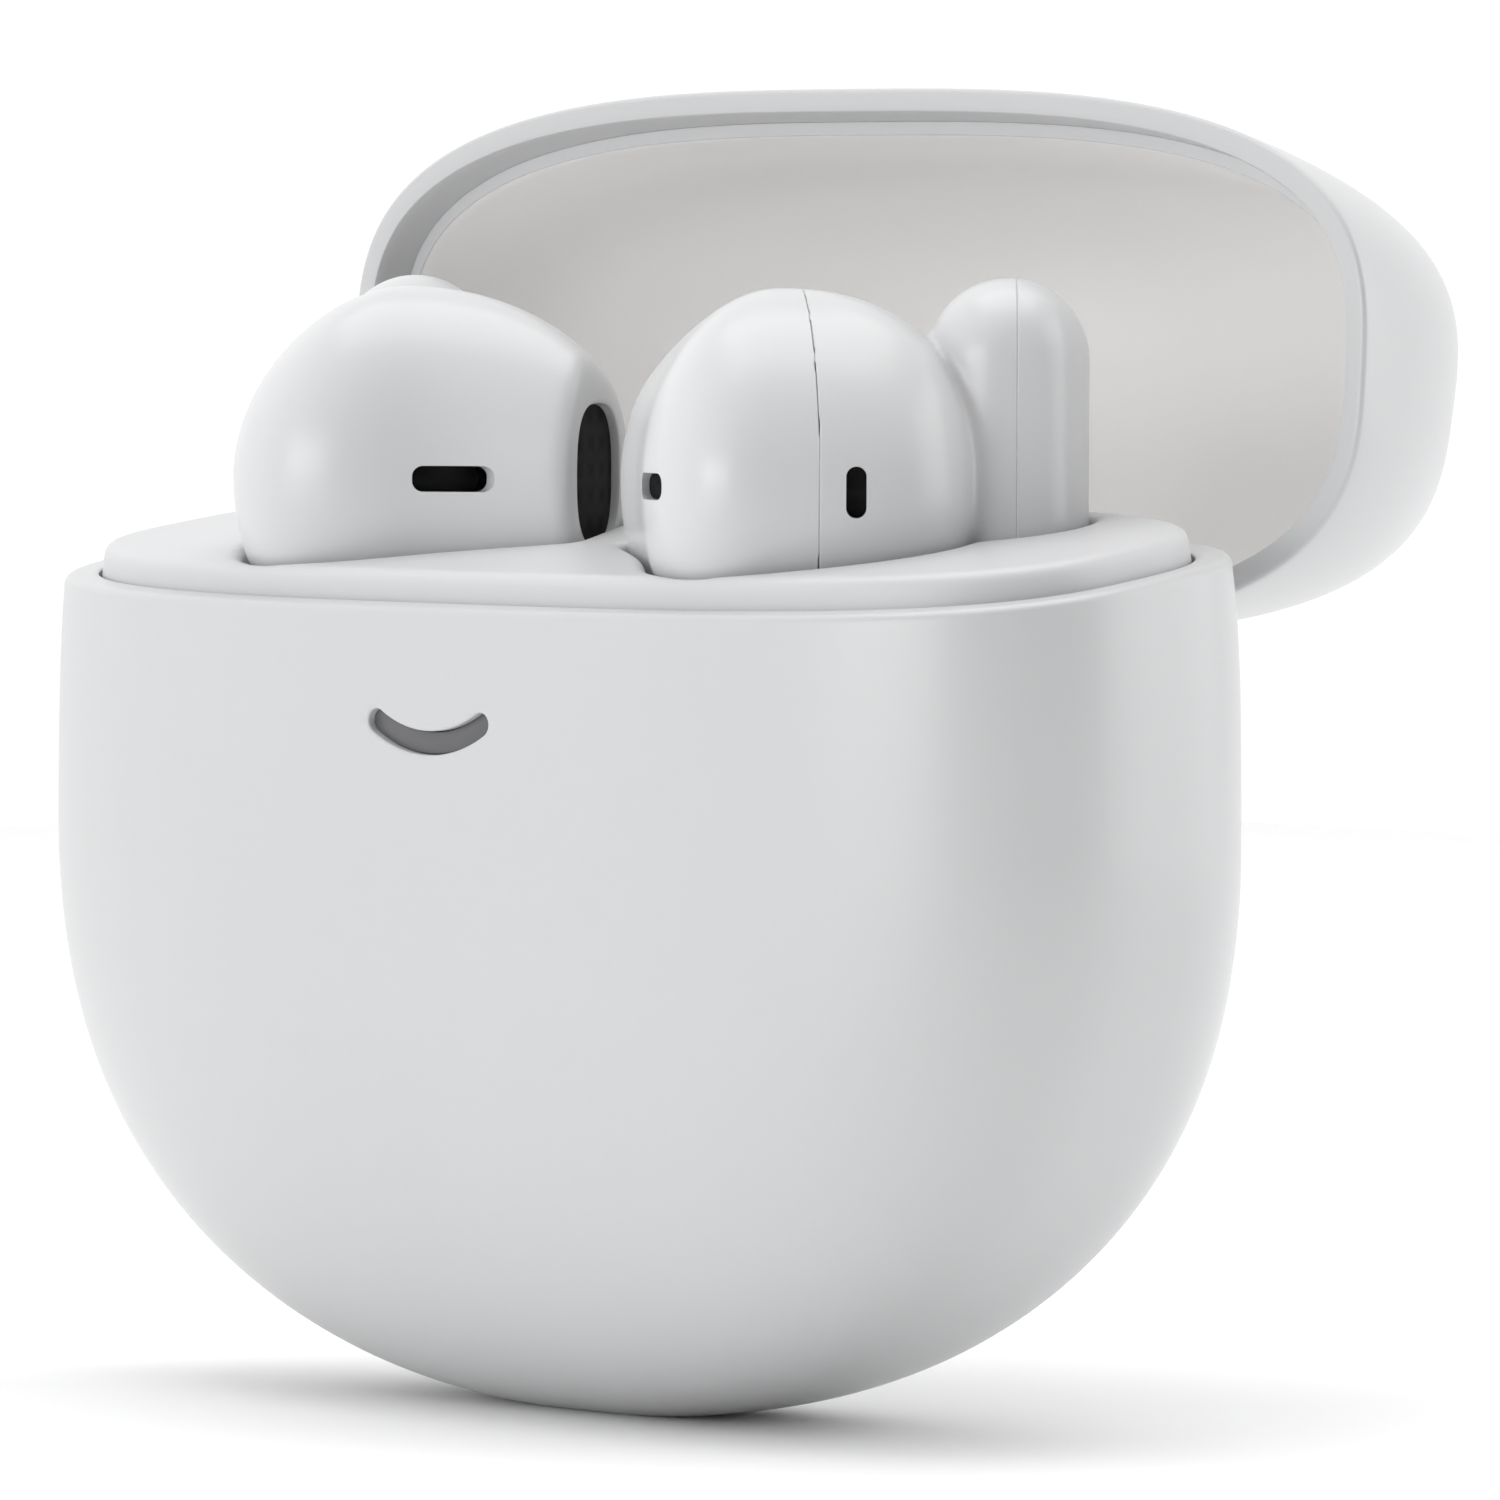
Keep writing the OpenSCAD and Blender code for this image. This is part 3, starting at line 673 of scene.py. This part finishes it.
# ---- buds ----
def head_field(p, grow):
    """The head as one superellipsoid, with other sizes and powers on each side and a bend to the ear."""
    x, y, z = p[..., 0] - HEAD[0], p[..., 1] - HEAD[1], p[..., 2] - HEAD[2]
    x = x - EAR_BEND * (np.maximum(0, -y) / EAR_BEND_AT) ** EAR_BEND_POWER
    ux = np.abs(x) / (np.where(x > 0, HEAD_FRONT, HEAD_BACK) + grow)
    uy = np.abs(y) / (np.where(y > 0, HEAD_SIDE, HEAD_EAR) + grow)
    share = ux ** 4 / (ux ** 4 + uy ** 4 + 1e-12)
    power = (share * np.where(x > 0, FRONT_POWER, BACK_POWER)
             + (1 - share) * np.where(y > 0, SIDE_POWER, EAR_POWER))
    power = np.where(z > 0, power, HEAD_LOW)
    plan = (ux ** HEAD_PLAN + uy ** HEAD_PLAN) ** (1 / HEAD_PLAN)
    rz = HEAD_TALL + grow
    return ((plan ** power + np.abs(z / rz) ** power) ** (1 / power) - 1) * rz


def head_shape(p, grow=0.0):
    """The head, cut flat where the ear opening is."""
    body = tilt_free(lambda q: head_field(q, grow), p)
    toward_ear = (p[..., 0] - HEAD[0]) * math.sin(NOZZLE_TURN) - p[..., 1] * math.cos(NOZZLE_TURN)
    return round_common(body, toward_ear - NOZZLE_REACH - grow, 0.7)


def stem_shape(p):
    """A round bar along z with a round top."""
    z = np.maximum(p[..., 2] - (STEM_TOP - STEM_R), 0)
    return np.sqrt(p[..., 0] ** 2 + p[..., 1] ** 2 + z ** 2) - STEM_R


def bud_shape(p):
    """Head and stem together, down to the end cap."""
    body = round_union(head_shape(p), stem_shape(p), NECK_BLEND)
    return np.maximum(body, CAP_SEAM - p[..., 2])


def bud_place(side):
    """From a bud's own frame to the case's, on the right (1) or the left (-1)."""
    turn = np.array(Matrix.Rotation(math.radians(BUD_TURN), 3, "Z"))

    def place(p):
        p = np.asarray(p, float) @ turn.T + [STEM[0], STEM[1], SEAM]
        return p * [side, 1, 1]
    return place


def to_bmesh(verts, faces):
    bm = bmesh.new()
    made = [bm.verts.new(v) for v in verts]
    for f in faces:
        bm.faces.new([made[k] for k in f])
    return bm


def from_bmesh(bm):
    bm.verts.index_update()
    verts = np.array([v.co[:] for v in bm.verts])
    faces = [[v.index for v in f.verts] for f in bm.faces]
    bm.free()
    return verts, faces


def clip(verts, faces, planes):
    """The part of a mesh on the far side of each plane, left open at the cuts."""
    bm = to_bmesh(verts, faces)
    for point, normal in planes:
        geom = bm.verts[:] + bm.edges[:] + bm.faces[:]
        bmesh.ops.bisect_plane(bm, geom=geom, dist=0.03, plane_co=point, plane_no=normal,
                               clear_inner=True, use_snap_center=False)
    loose = [v for v in bm.verts if not v.link_faces]
    bmesh.ops.delete(bm, geom=loose, context="VERTS")
    bmesh.ops.recalc_face_normals(bm, faces=bm.faces)
    return from_bmesh(bm)


def face_away(bm, point):
    """Turn the whole skin so that it faces away from a point inside it."""
    total = sum(f.normal.dot(f.calc_center_median() - Vector(point)) for f in bm.faces)
    if total < 0:
        bmesh.ops.reverse_faces(bm, faces=bm.faces)
        bm.normal_update()


def into_skin(vert):
    """The direction at an edge corner that points into the skin, level with it."""
    around = Vector((0, 0, 0))
    for e in vert.link_edges:
        if len(e.link_faces) == 1:
            d = e.link_faces[0].calc_center_median() - (e.verts[0].co + e.verts[1].co) / 2
            d -= vert.normal * d.dot(vert.normal)
            around += d.normalized()
    return around.normalized() if around.length > 1e-6 else around


def thicken(verts, faces, inside):
    """A closed wall behind an open skin, whose cut edges are slightly rounded inwards."""
    lip = 0.045
    bm = to_bmesh(verts, faces)
    bm.normal_update()
    face_away(bm, inside)
    skin = bm.faces[:]
    open_edges = [e for e in bm.edges if len(e.link_faces) == 1]
    edge_verts = list(dict.fromkeys(v for e in open_edges for v in e.verts))
    inner = {v: bm.verts.new(v.co - v.normal * BUD_WALL) for v in list(bm.verts)}
    mid = {v: bm.verts.new(v.co - v.normal * lip) for v in edge_verts}
    inward = {v: into_skin(v) for v in edge_verts}
    for e in open_edges:
        order = [l.vert for l in e.link_faces[0].loops]
        a, b = e.verts
        if order[(order.index(a) + 1) % len(order)] != b:
            a, b = b, a
        bm.faces.new([b, a, mid[a], mid[b]])
        bm.faces.new([mid[b], mid[a], inner[a], inner[b]])
    for f in skin:
        bm.faces.new([inner[l.vert] for l in reversed(f.loops)])
    for v in edge_verts:
        v.co += inward[v] * lip
    return from_bmesh(bm)


def rounded_slot(half_a, half_b, r):
    """A rounded rectangle, as points."""
    pts = []
    for cx, cy, start in ((1, 1, 0), (-1, 1, 90), (-1, -1, 180), (1, -1, 270)):
        for t in np.radians(np.linspace(start, start + 90, 9)):
            pts.append((cx * (half_a - r) + r * math.cos(t), cy * (half_b - r) + r * math.sin(t)))
    return np.array(pts)


def oval(half_a, half_b):
    """The ear opening's superellipse, as points."""
    t = np.linspace(0, 2 * np.pi, 64, endpoint=False)
    power = 2 / MOUTH_POWER
    return np.stack([half_a * signed_pow(np.cos(t), power), half_b * signed_pow(np.sin(t), power)], 1)


def ring_at(outline, way, centre, level):
    """A bud outline laid across a level direction, at a distance along it from the centre."""
    across = np.cross([0, 0, 1], way)
    return centre + way * level + across * outline[:, :1] + np.array([0, 0, 1]) * outline[:, 1:]


def bar_along(name, outline, way, centre, steps, place):
    """A bar through a bud's wall: each step is (distance along it, growth of its outline)."""
    away = outline / np.maximum(np.linalg.norm(outline, axis=1, keepdims=True), 1e-9)
    rows = [place(ring_at(outline + away * grow, way, centre, level)) for level, grow in steps]
    return make_object(name, *loft(rows))


def level_way(turn):
    return np.array([math.cos(turn), math.sin(turn), 0.0])


BUD_BOX = ((-3.6, -9.6, STEM_LOW + 0.9), (14.8, 7.3, 11.3))
bud_verts, bud_faces = surface_of(bud_shape, *BUD_BOX, BUD_STEP)
PARTING = level_way(PART_TURN)
SPLIT_WAY = np.array([1, 0, 0])


def bud_shell(planes, inside):
    """One shell of the bud: the skin on the far side of some planes, with a wall behind it."""
    return thicken(*clip(bud_verts, bud_faces, planes), inside)


ear_half = bud_shell([(PART + PARTING * HALF_GAP, PARTING)], HEAD)
outer_half = bud_shell([(PART - PARTING * HALF_GAP, -PARTING), (SPLIT_WAY * (SPLIT + HALF_GAP), SPLIT_WAY)],
                       (3, 0, 0))
stem_half = bud_shell([(SPLIT_WAY * (SPLIT - HALF_GAP), -SPLIT_WAY)], (0, 0, -4))
EAR_WAY = level_way(NOZZLE_TURN - math.pi / 2)
MOUTH_CENTRE = HEAD + level_way(NOZZLE_TURN) * MOUTH_ACROSS
SIDE_WAY = np.array([0.0, 1.0, 0.0])
CIRCLE = np.stack([trig(np.linspace(0, 2 * np.pi, 72, endpoint=False)) for trig in (np.cos, np.sin)]
                  + [np.zeros(72)], 1)


def bud_shells(name, place):
    """The two halves of the housing and the stem's cover, with the openings through them."""
    body = name + "_bud"
    pole = make_object(name + "_ear_half", place(ear_half[0]), ear_half[1])
    neck = make_object(name + "_outer_half", place(outer_half[0]), outer_half[1])
    cover = make_object(name + "_stem_half", place(stem_half[0]), stem_half[1])
    mouth_steps = [(NOZZLE_REACH + level, grow) for level, grow in
                   ((-1.6, 0.0), (-0.12, 0.0), (-0.04, 0.04), (0.0, 0.14), (1.0, 0.14))]
    cut(pole, bar_along("mouth_cutter", oval(*MOUTH), EAR_WAY, MOUTH_CENTRE, mouth_steps, place))
    turn, half, _ = FRONT_VENT[name]
    outline = rounded_slot(half, VENT_HALF_TALL, VENT_ROUND)
    steps = [(3.6, 0), (9, 0)]
    cut(pole, bar_along("vent_cutter", outline, level_way(turn), FRONT_VENT_AT, steps, place))
    steps = [(4.0, 0), (9, 0)]
    cut(neck, bar_along("side_cutter", rounded_slot(*SIDE_VENT), SIDE_WAY, SIDE_VENT_AT, steps, place))
    dress(pole, "bud_plastic", body, name + "_inner_housing")
    dress(neck, "bud_plastic", body, name + "_outer_housing")
    dress(cover, "bud_plastic", body, name + "_stem_cover")


def stem_end(name, place):
    """The end cap, with a rounded rim and holes for its two contact pads."""
    rim, wall = 0.5, STEM_R - BUD_WALL - 0.03
    rings = [(0.6, STEM_LOW), (1.6, STEM_LOW), (STEM_R - rim, STEM_LOW)]
    for turn in np.linspace(0.2, math.pi / 2, 7):
        rings.append((STEM_R - rim + rim * math.sin(turn), STEM_LOW + rim - rim * math.cos(turn)))
    rings += [(STEM_R, CAP_SEAM - 0.09), (STEM_R - 0.02, CAP_SEAM - 0.05), (STEM_R - 0.06, CAP_SEAM - 0.03),
              (wall, CAP_SEAM - 0.02), (wall, CAP_SEAM + 0.8)]
    cap = make_object(name + "_stem_end", *loft([place(CIRCLE * r + [0, 0, z]) for r, z in rings]))
    for side in (-1, 1):
        spot = level_way(math.radians(135)) * PIN_SPACING * side
        rows = [place(CIRCLE * 0.83 + spot + [0, 0, z]) for z in (STEM_LOW - 1, STEM_LOW + 3)]
        cut(cap, make_object("pad_cutter", *loft(rows)))
    dress(cap, "bud_plastic", name + "_bud", name + "_end_cap")


def vent_meshes(name, place):
    """The woven plates behind the front and side vents."""
    turn, half, sits = FRONT_VENT[name]
    outline = rounded_slot(half - MESH_GAP, VENT_HALF_TALL - MESH_GAP, VENT_ROUND - MESH_GAP)
    steps = [(sits + level, 0) for level in VENT_MESH_THICK]
    front = bar_along(name + "_slot_mesh", outline, level_way(turn), FRONT_VENT_AT, steps, place)
    dress(front, "speaker_mesh", name + "_bud", name + "_front_vent_mesh")
    outline = rounded_slot(*[size - MESH_GAP for size in SIDE_VENT])
    steps = [(SIDE_VENT_MESH + level, 0) for level in VENT_MESH_THICK]
    side = bar_along(name + "_vent_mesh", outline, SIDE_WAY, SIDE_VENT_AT, steps, place)
    dress(side, "speaker_mesh", name + "_bud", name + "_side_vent_mesh")


def speaker_grille(name, place):
    """The crowned woven plate in the ear opening."""
    edge = oval(MOUTH[0] - 0.03, MOUTH[1] - 0.03)
    back, front = NOZZLE_REACH - GRILLE_BACK, NOZZLE_REACH - GRILLE_BACK + GRILLE_THICK
    steps = [(0.5, back), (1.0, back)]
    steps += [(share, front + GRILLE_CROWN * (1 - share ** 2)) for share in (1.0, 0.75, 0.5, 0.25)]
    rows = [place(ring_at(edge * share, EAR_WAY, MOUTH_CENTRE, level)) for share, level in steps]
    grille = make_object(name + "_speaker_grille", *loft(rows))
    dress(grille, "speaker_mesh", name + "_bud", name + "_nozzle_mesh")


for side, name in ((1, "right"), (-1, "left")):
    place = bud_place(side)
    bud_shells(name, place)
    stem_end(name, place)
    vent_meshes(name, place)
    speaker_grille(name, place)


# ---- tray ----
def to_bud(p):
    """From the case's frame to the frame of the bud on that side."""
    back = np.array(Matrix.Rotation(math.radians(-BUD_TURN), 3, "Z"))
    q = np.array(p, float)
    q[..., 0] = np.abs(q[..., 0])
    return (q - [STEM[0], STEM[1], SEAM]) @ back.T


def box_field(p, low, high):
    """Distance to a box, from its two corners."""
    low, high = np.asarray(low), np.asarray(high)
    d = np.abs(p - (low + high) / 2) - (high - low) / 2
    return np.minimum(d.max(-1), 0) + np.linalg.norm(np.maximum(d, 0), axis=-1)


def pebble_field(p, inset):
    """The case's outer form as a field, set in by inset."""
    low, top = -FOOT_TRIM + inset, CASE_HEIGHT - inset
    a = np.maximum(half_at(p[..., 2], HALF_WIDTH - inset, WIDE_LEVEL, low, top, POWERS_X), 0.5)
    b = np.maximum(half_at(p[..., 2], HALF_DEPTH - inset, DEEP_LEVEL, low, top, POWERS_Y), 0.5)
    s = np.abs(p[..., 0] / a) ** PLAN_POWER + np.abs(p[..., 1] / b) ** PLAN_POWER
    return (s ** (1 / PLAN_POWER) - 1) * b


def tray_solid(p, rim, bud, axis):
    """The deck, with a bowl under each head and a tube under each stem."""
    side = tilt_free(lambda q: pebble_field(q, RIM_WALL + TRAY_GAP), p)
    deck = round_common(side, rim[..., 2] - TRAY_LIP, 0.5)
    deck = np.maximum(deck, -TRAY_DECK - rim[..., 2])
    bowl = np.maximum(head_shape(bud, SEAT_GAP + POCKET_WALL), bud[..., 2] + 1.8)
    tube_ends = np.maximum(STEM_LOW - 1.2 - bud[..., 2], bud[..., 2] + 2.7)
    tube = np.maximum(axis - STEM_R - TUBE_WALL, tube_ends)
    return np.maximum(np.minimum(deck, np.minimum(bowl, tube)), side)


def tray_holes(p, rim, bud):
    """Fields of the holes for pins, screws and magnets, and of the hinge's bay."""
    across = np.abs(np.abs(p[..., 0] - np.sign(p[..., 0]) * STEM[0]) - PIN_SPACING)
    yield np.maximum(np.hypot(across, p[..., 1] - STEM[1]) - PIN_HOLE, bud[..., 2] - STEM_LOW - 1)
    x, y, z = np.abs(rim[..., 0]), rim[..., 1], rim[..., 2]
    yield np.maximum(np.hypot(x - SCREW_AT[0], y - SCREW_AT[1]) - SCREW_HOLE, z + SCREW_DEPTH)
    yield box_field(np.stack([x, y, z], -1), *TRAY_MAGNET)
    yield np.maximum(x - BAY_HALF, PIN_BACK - 2.05 - y)


def tray_shape(p):
    """The tray, with its pockets and holes taken out."""
    rim = case_to_rim(p)
    bud = to_bud(p)
    axis = np.hypot(bud[..., 0], bud[..., 1])
    stem_well = np.maximum(axis - STEM_R - 0.2, STEM_LOW - 0.1 - bud[..., 2])
    pocket = round_union(head_shape(bud, SEAT_GAP), stem_well, 0.5)
    solid = round_common(tray_solid(p, rim, bud, axis), -pocket, 0.4)
    for hole in tray_holes(p, rim, bud):
        solid = np.maximum(solid, -hole)
    return solid


tray_low, tray_high = corners("tray")
tray = make_object("bud_tray", *surface_of(tray_shape, tray_low - 0.9, tray_high + 0.9, 0.2), smooth_angle=50)
dress(tray, "tray_plastic", "case", "tray")


# ---- lid ----
def shut_to_open(obj):
    """Turn a piece that was made for the shut lid to where the lid is open."""
    to_pin = Matrix.Translation(Vector(PIN * MM))
    obj.data.transform(to_pin @ Matrix.Rotation(-LID_OPEN, 4, "X") @ to_pin.inverted())
    obj.data.update()


def dome_rows(row, height, count, apex):
    """Rows from near the apex down to a height over the lid line."""
    low = on_rim(row, height)[:, 2]
    return [row(low + (apex - low) * math.cos(math.pi / 2 * u)) for u in np.linspace(0.02, 1, count)]


def lid_shell_rows():
    """Rows from the apex down the outside, round the edge, over the lip and up the inside."""
    rows = dome_rows(shell_row(0), LID_GAP + LID_FILLET, 60, CASE_HEIGHT - 0.002)
    for turn in np.linspace(0, math.pi / 2, 6)[1:]:
        inset = LID_FILLET * (1 - math.cos(turn))
        rows.append(on_rim(shell_row(inset), LID_GAP + LID_FILLET * (1 - math.sin(turn))))
    edge = [(inset, LID_GAP) for inset in (0.4, 0.6, LID_WALL - 0.08)] + [(LID_WALL - 0.03, 0.075)]
    edge += [(LID_WALL, height) for height in (0.13, 0.5, 1.0, LEDGE - 0.02)]
    rows += [on_rim(shell_row(inset), height) for inset, height in edge]
    return rows + dome_rows(shell_row(LID_THIN), LEDGE, 30, CASE_HEIGHT - LID_THIN - 0.002)[::-1]


def liner_row(z):
    """The hollow's wall, which thins towards the top where the stems reach."""
    z = np.broadcast_to(z, AROUND.shape)
    rise = np.clip((z - SEAM - 3.0) / 5.5, 0, 1)
    inset = LINER_INSET - LINER_THINNER * rise * rise * (3 - 2 * rise)
    z = np.clip(z, 0, LINER_TOP - 0.001)
    a = half_at(z, HALF_WIDTH - inset, WIDE_LEVEL, LINER_LOW, LINER_TOP, LINER_POWERS_X)
    b = half_at(z, HALF_DEPTH - inset - 0.06, DEEP_LEVEL, LINER_LOW, LINER_TOP, LINER_POWERS_Y)
    return np.stack([a * PLAN_X, b * PLAN_Y, z], 1)


def liner_rows():
    """Rows from behind the apex down to the ledge, across it and up the hollow."""
    behind = shell_row(LID_THIN + 0.05)
    rows = dome_rows(behind, LEDGE + LEDGE_COVER, 30, CASE_HEIGHT - LID_THIN - 0.052)
    edge_out = on_rim(behind, LEDGE + LEDGE_COVER)
    edge_in = on_rim(liner_row, LEDGE + LEDGE_COVER)
    rows += [edge_out + (edge_in - edge_out) * share for share in (0.25, 0.5, 0.75, 0.9)]
    rows.append(on_rim(liner_row, LEDGE + LEDGE_COVER + 0.015) + (edge_out - edge_in) * 0.03)
    return rows + dome_rows(liner_row, LEDGE + 0.09, 60, LINER_TOP - 0.002)[::-1]


def cut_screw_hole(liner, side):
    """A counterbored hole for one of the hinge arm's screws."""
    t = np.linspace(0, 2 * np.pi, 40, endpoint=False)
    for r, low, high in ARM_SCREW_BORES:
        ring = np.stack([side * ARM_SCREW_X + r * np.cos(t), 0 * t, ARM_SCREW_UP + r * np.sin(t)], 1)
        rows = [rim_to_case(ring + [0, PIN_BACK + level, PIN_UP]) for level in (low, high)]
        cut(liner, make_object("screw_cutter", *loft(rows)))


def cut_magnet_pocket(liner, side):
    """The pocket for the magnet at one end of the lid."""
    across = [side * x for x in LID_MAGNET_X]
    pts = np.array(list(itertools.product(across, LID_MAGNET_Y, LID_MAGNET_Z)), float)
    cut(liner, make_object("magnet_cutter", rim_to_case(pts), BOX_FACES))


def ledge_ring():
    """A flat ring that covers the liner's ledge."""
    outer_top, outer_low = [on_rim(shell_row(LID_WALL + 0.01), LEDGE + h) for h in (0.02, -0.03)]
    inner_top, inner_low = [on_rim(liner_row, LEDGE + h) for h in (0.02, -0.03)]
    inner_low = inner_low + (outer_low - inner_low) * 0.06
    rows = [outer_top, outer_low, inner_low, inner_top, outer_top]
    return make_object("lid_ledge_ring", *loft(rows, False, False))


lid_shell = make_object("lid_shell_skin", *loft(lid_shell_rows()))
lid_liner = make_object("lid_liner_skin", *loft(liner_rows()))
cut(lid_liner, pin_box("notch_cutter", (-ARM_HALF, -0.5, -2), (ARM_HALF, 0.7, 8)))
for side in (-1, 1):
    cut_screw_hole(lid_liner, side)
    cut_magnet_pocket(lid_liner, side)
lid_ring = ledge_ring()
for obj in (lid_shell, lid_liner, lid_ring):
    shut_to_open(obj)
# the ledge ring keeps the shell's plain plastic tone, while the liner's paleness is painted light in the
# hollow
dress(lid_ring, "tray_plastic", "lid")
dress(lid_shell, "case_plastic", "lid", "lid_shell")
dress(lid_liner, "liner_plastic", "lid", "lid_liner")


# ---- floor, light and camera ----
FLOOR_HALF, FLOOR_LEVEL = 350, -0.02
floor = make_object("studio_floor", [(x, y, FLOOR_LEVEL) for x, y in
                                     ((-FLOOR_HALF, -FLOOR_HALF), (FLOOR_HALF, -FLOOR_HALF),
                                      (FLOOR_HALF, FLOOR_HALF), (-FLOOR_HALF, FLOOR_HALF))], [(0, 1, 2, 3)])
floor.data.materials.append(moulded("studio_floor_paper", (0.93, 0.93, 0.93), rough=0.7))

# the view that matches the photo: its direction and distance from the middle of the lid line
CAM_TURN, CAM_TILT, CAM_ROLL = math.radians(46.0), math.radians(1.52), math.radians(0.23)
CAM_AWAY = 437.66
CAM_SENSOR, CAM_LENS = 36, 279.5304
CAM_SHIFT = (0.07876, -0.12416)
view = Vector((math.sin(CAM_TURN) * math.cos(CAM_TILT), -math.cos(CAM_TURN) * math.cos(CAM_TILT),
               math.sin(CAM_TILT)))
right = Vector((math.cos(CAM_TURN), math.sin(CAM_TURN), 0))
up = view.cross(right)
toward_viewer = Vector((math.sin(CAM_TURN), -math.cos(CAM_TURN), 0))


def from_middle(across, above, nearer):
    """A point given across, above and towards the viewer from the middle of the case."""
    return right * across + Vector((0, 0, 35 + above)) + toward_viewer * nearer


def softbox(name, at, aim, size, power):
    data = bpy.data.lights.new(name, "AREA")
    data.shape = "RECTANGLE"
    data.size, data.size_y = size[0] * MM, size[1] * MM
    data.energy = power
    obj = bpy.data.objects.new(name, data)
    bpy.context.scene.collection.objects.link(obj)
    obj.location = at * MM
    obj.rotation_euler = (aim - at).to_track_quat("-Z", "Y").to_euler()


middle = from_middle(0, 0, 0)
softbox("softbox_left", from_middle(-420, 110, 90), middle, (420, 520), 0.15)
softbox("softbox_right", from_middle(430, 90, 20), middle, (360, 460), 0.9)
softbox("softbox_front", from_middle(-330, 60, 320), from_middle(0, 0, 10), (240, 160), 0.48)
softbox("softbox_top", from_middle(0, 480, -40), middle, (500, 400), 1.15)

# white studio all round, dimmer on the case's front right side
DIM_TURN = math.radians(66)
world = bpy.data.worlds.new("studio_white")
bpy.context.scene.world = world
world.use_nodes = True
tree = world.node_tree
coords = add(tree, "ShaderNodeTexCoord")
toward = add(tree, "ShaderNodeVectorMath", operation="DOT_PRODUCT")
toward.inputs[1].default_value = (math.sin(DIM_TURN), -math.cos(DIM_TURN), 0.0)
tree.links.new(coords.outputs["Generated"], toward.inputs[0])
fall = add(tree, "ShaderNodeMapRange", interpolation_type="SMOOTHSTEP")
for key, value in (("From Min", 0.3), ("From Max", 0.8), ("To Min", 1.03), ("To Max", 0.02)):
    fall.inputs[key].default_value = value
tree.links.new(toward.outputs["Value"], fall.inputs["Value"])
tree.links.new(fall.outputs["Result"], tree.nodes["Background"].inputs["Strength"])
tree.nodes["Background"].inputs["Color"].default_value = (1, 1, 1, 1)
bpy.context.scene.view_settings.view_transform = "Standard"

cam_data = bpy.data.cameras.new("photo_camera")
cam_data.sensor_width, cam_data.lens = CAM_SENSOR, CAM_LENS
cam_data.shift_x, cam_data.shift_y = CAM_SHIFT
cam_data.clip_start, cam_data.clip_end = 0.01, 10
cam = bpy.data.objects.new("photo_camera", cam_data)
bpy.context.scene.collection.objects.link(cam)
rolled_right = right * math.cos(CAM_ROLL) + up * math.sin(CAM_ROLL)
rolled_up = up * math.cos(CAM_ROLL) - right * math.sin(CAM_ROLL)
cam_place = Matrix((rolled_right, rolled_up, view)).transposed().to_4x4()
cam_place.translation = (Vector((0, 0, SEAM)) + view * CAM_AWAY) * MM
cam.matrix_world = cam_place
bpy.context.scene.camera = cam
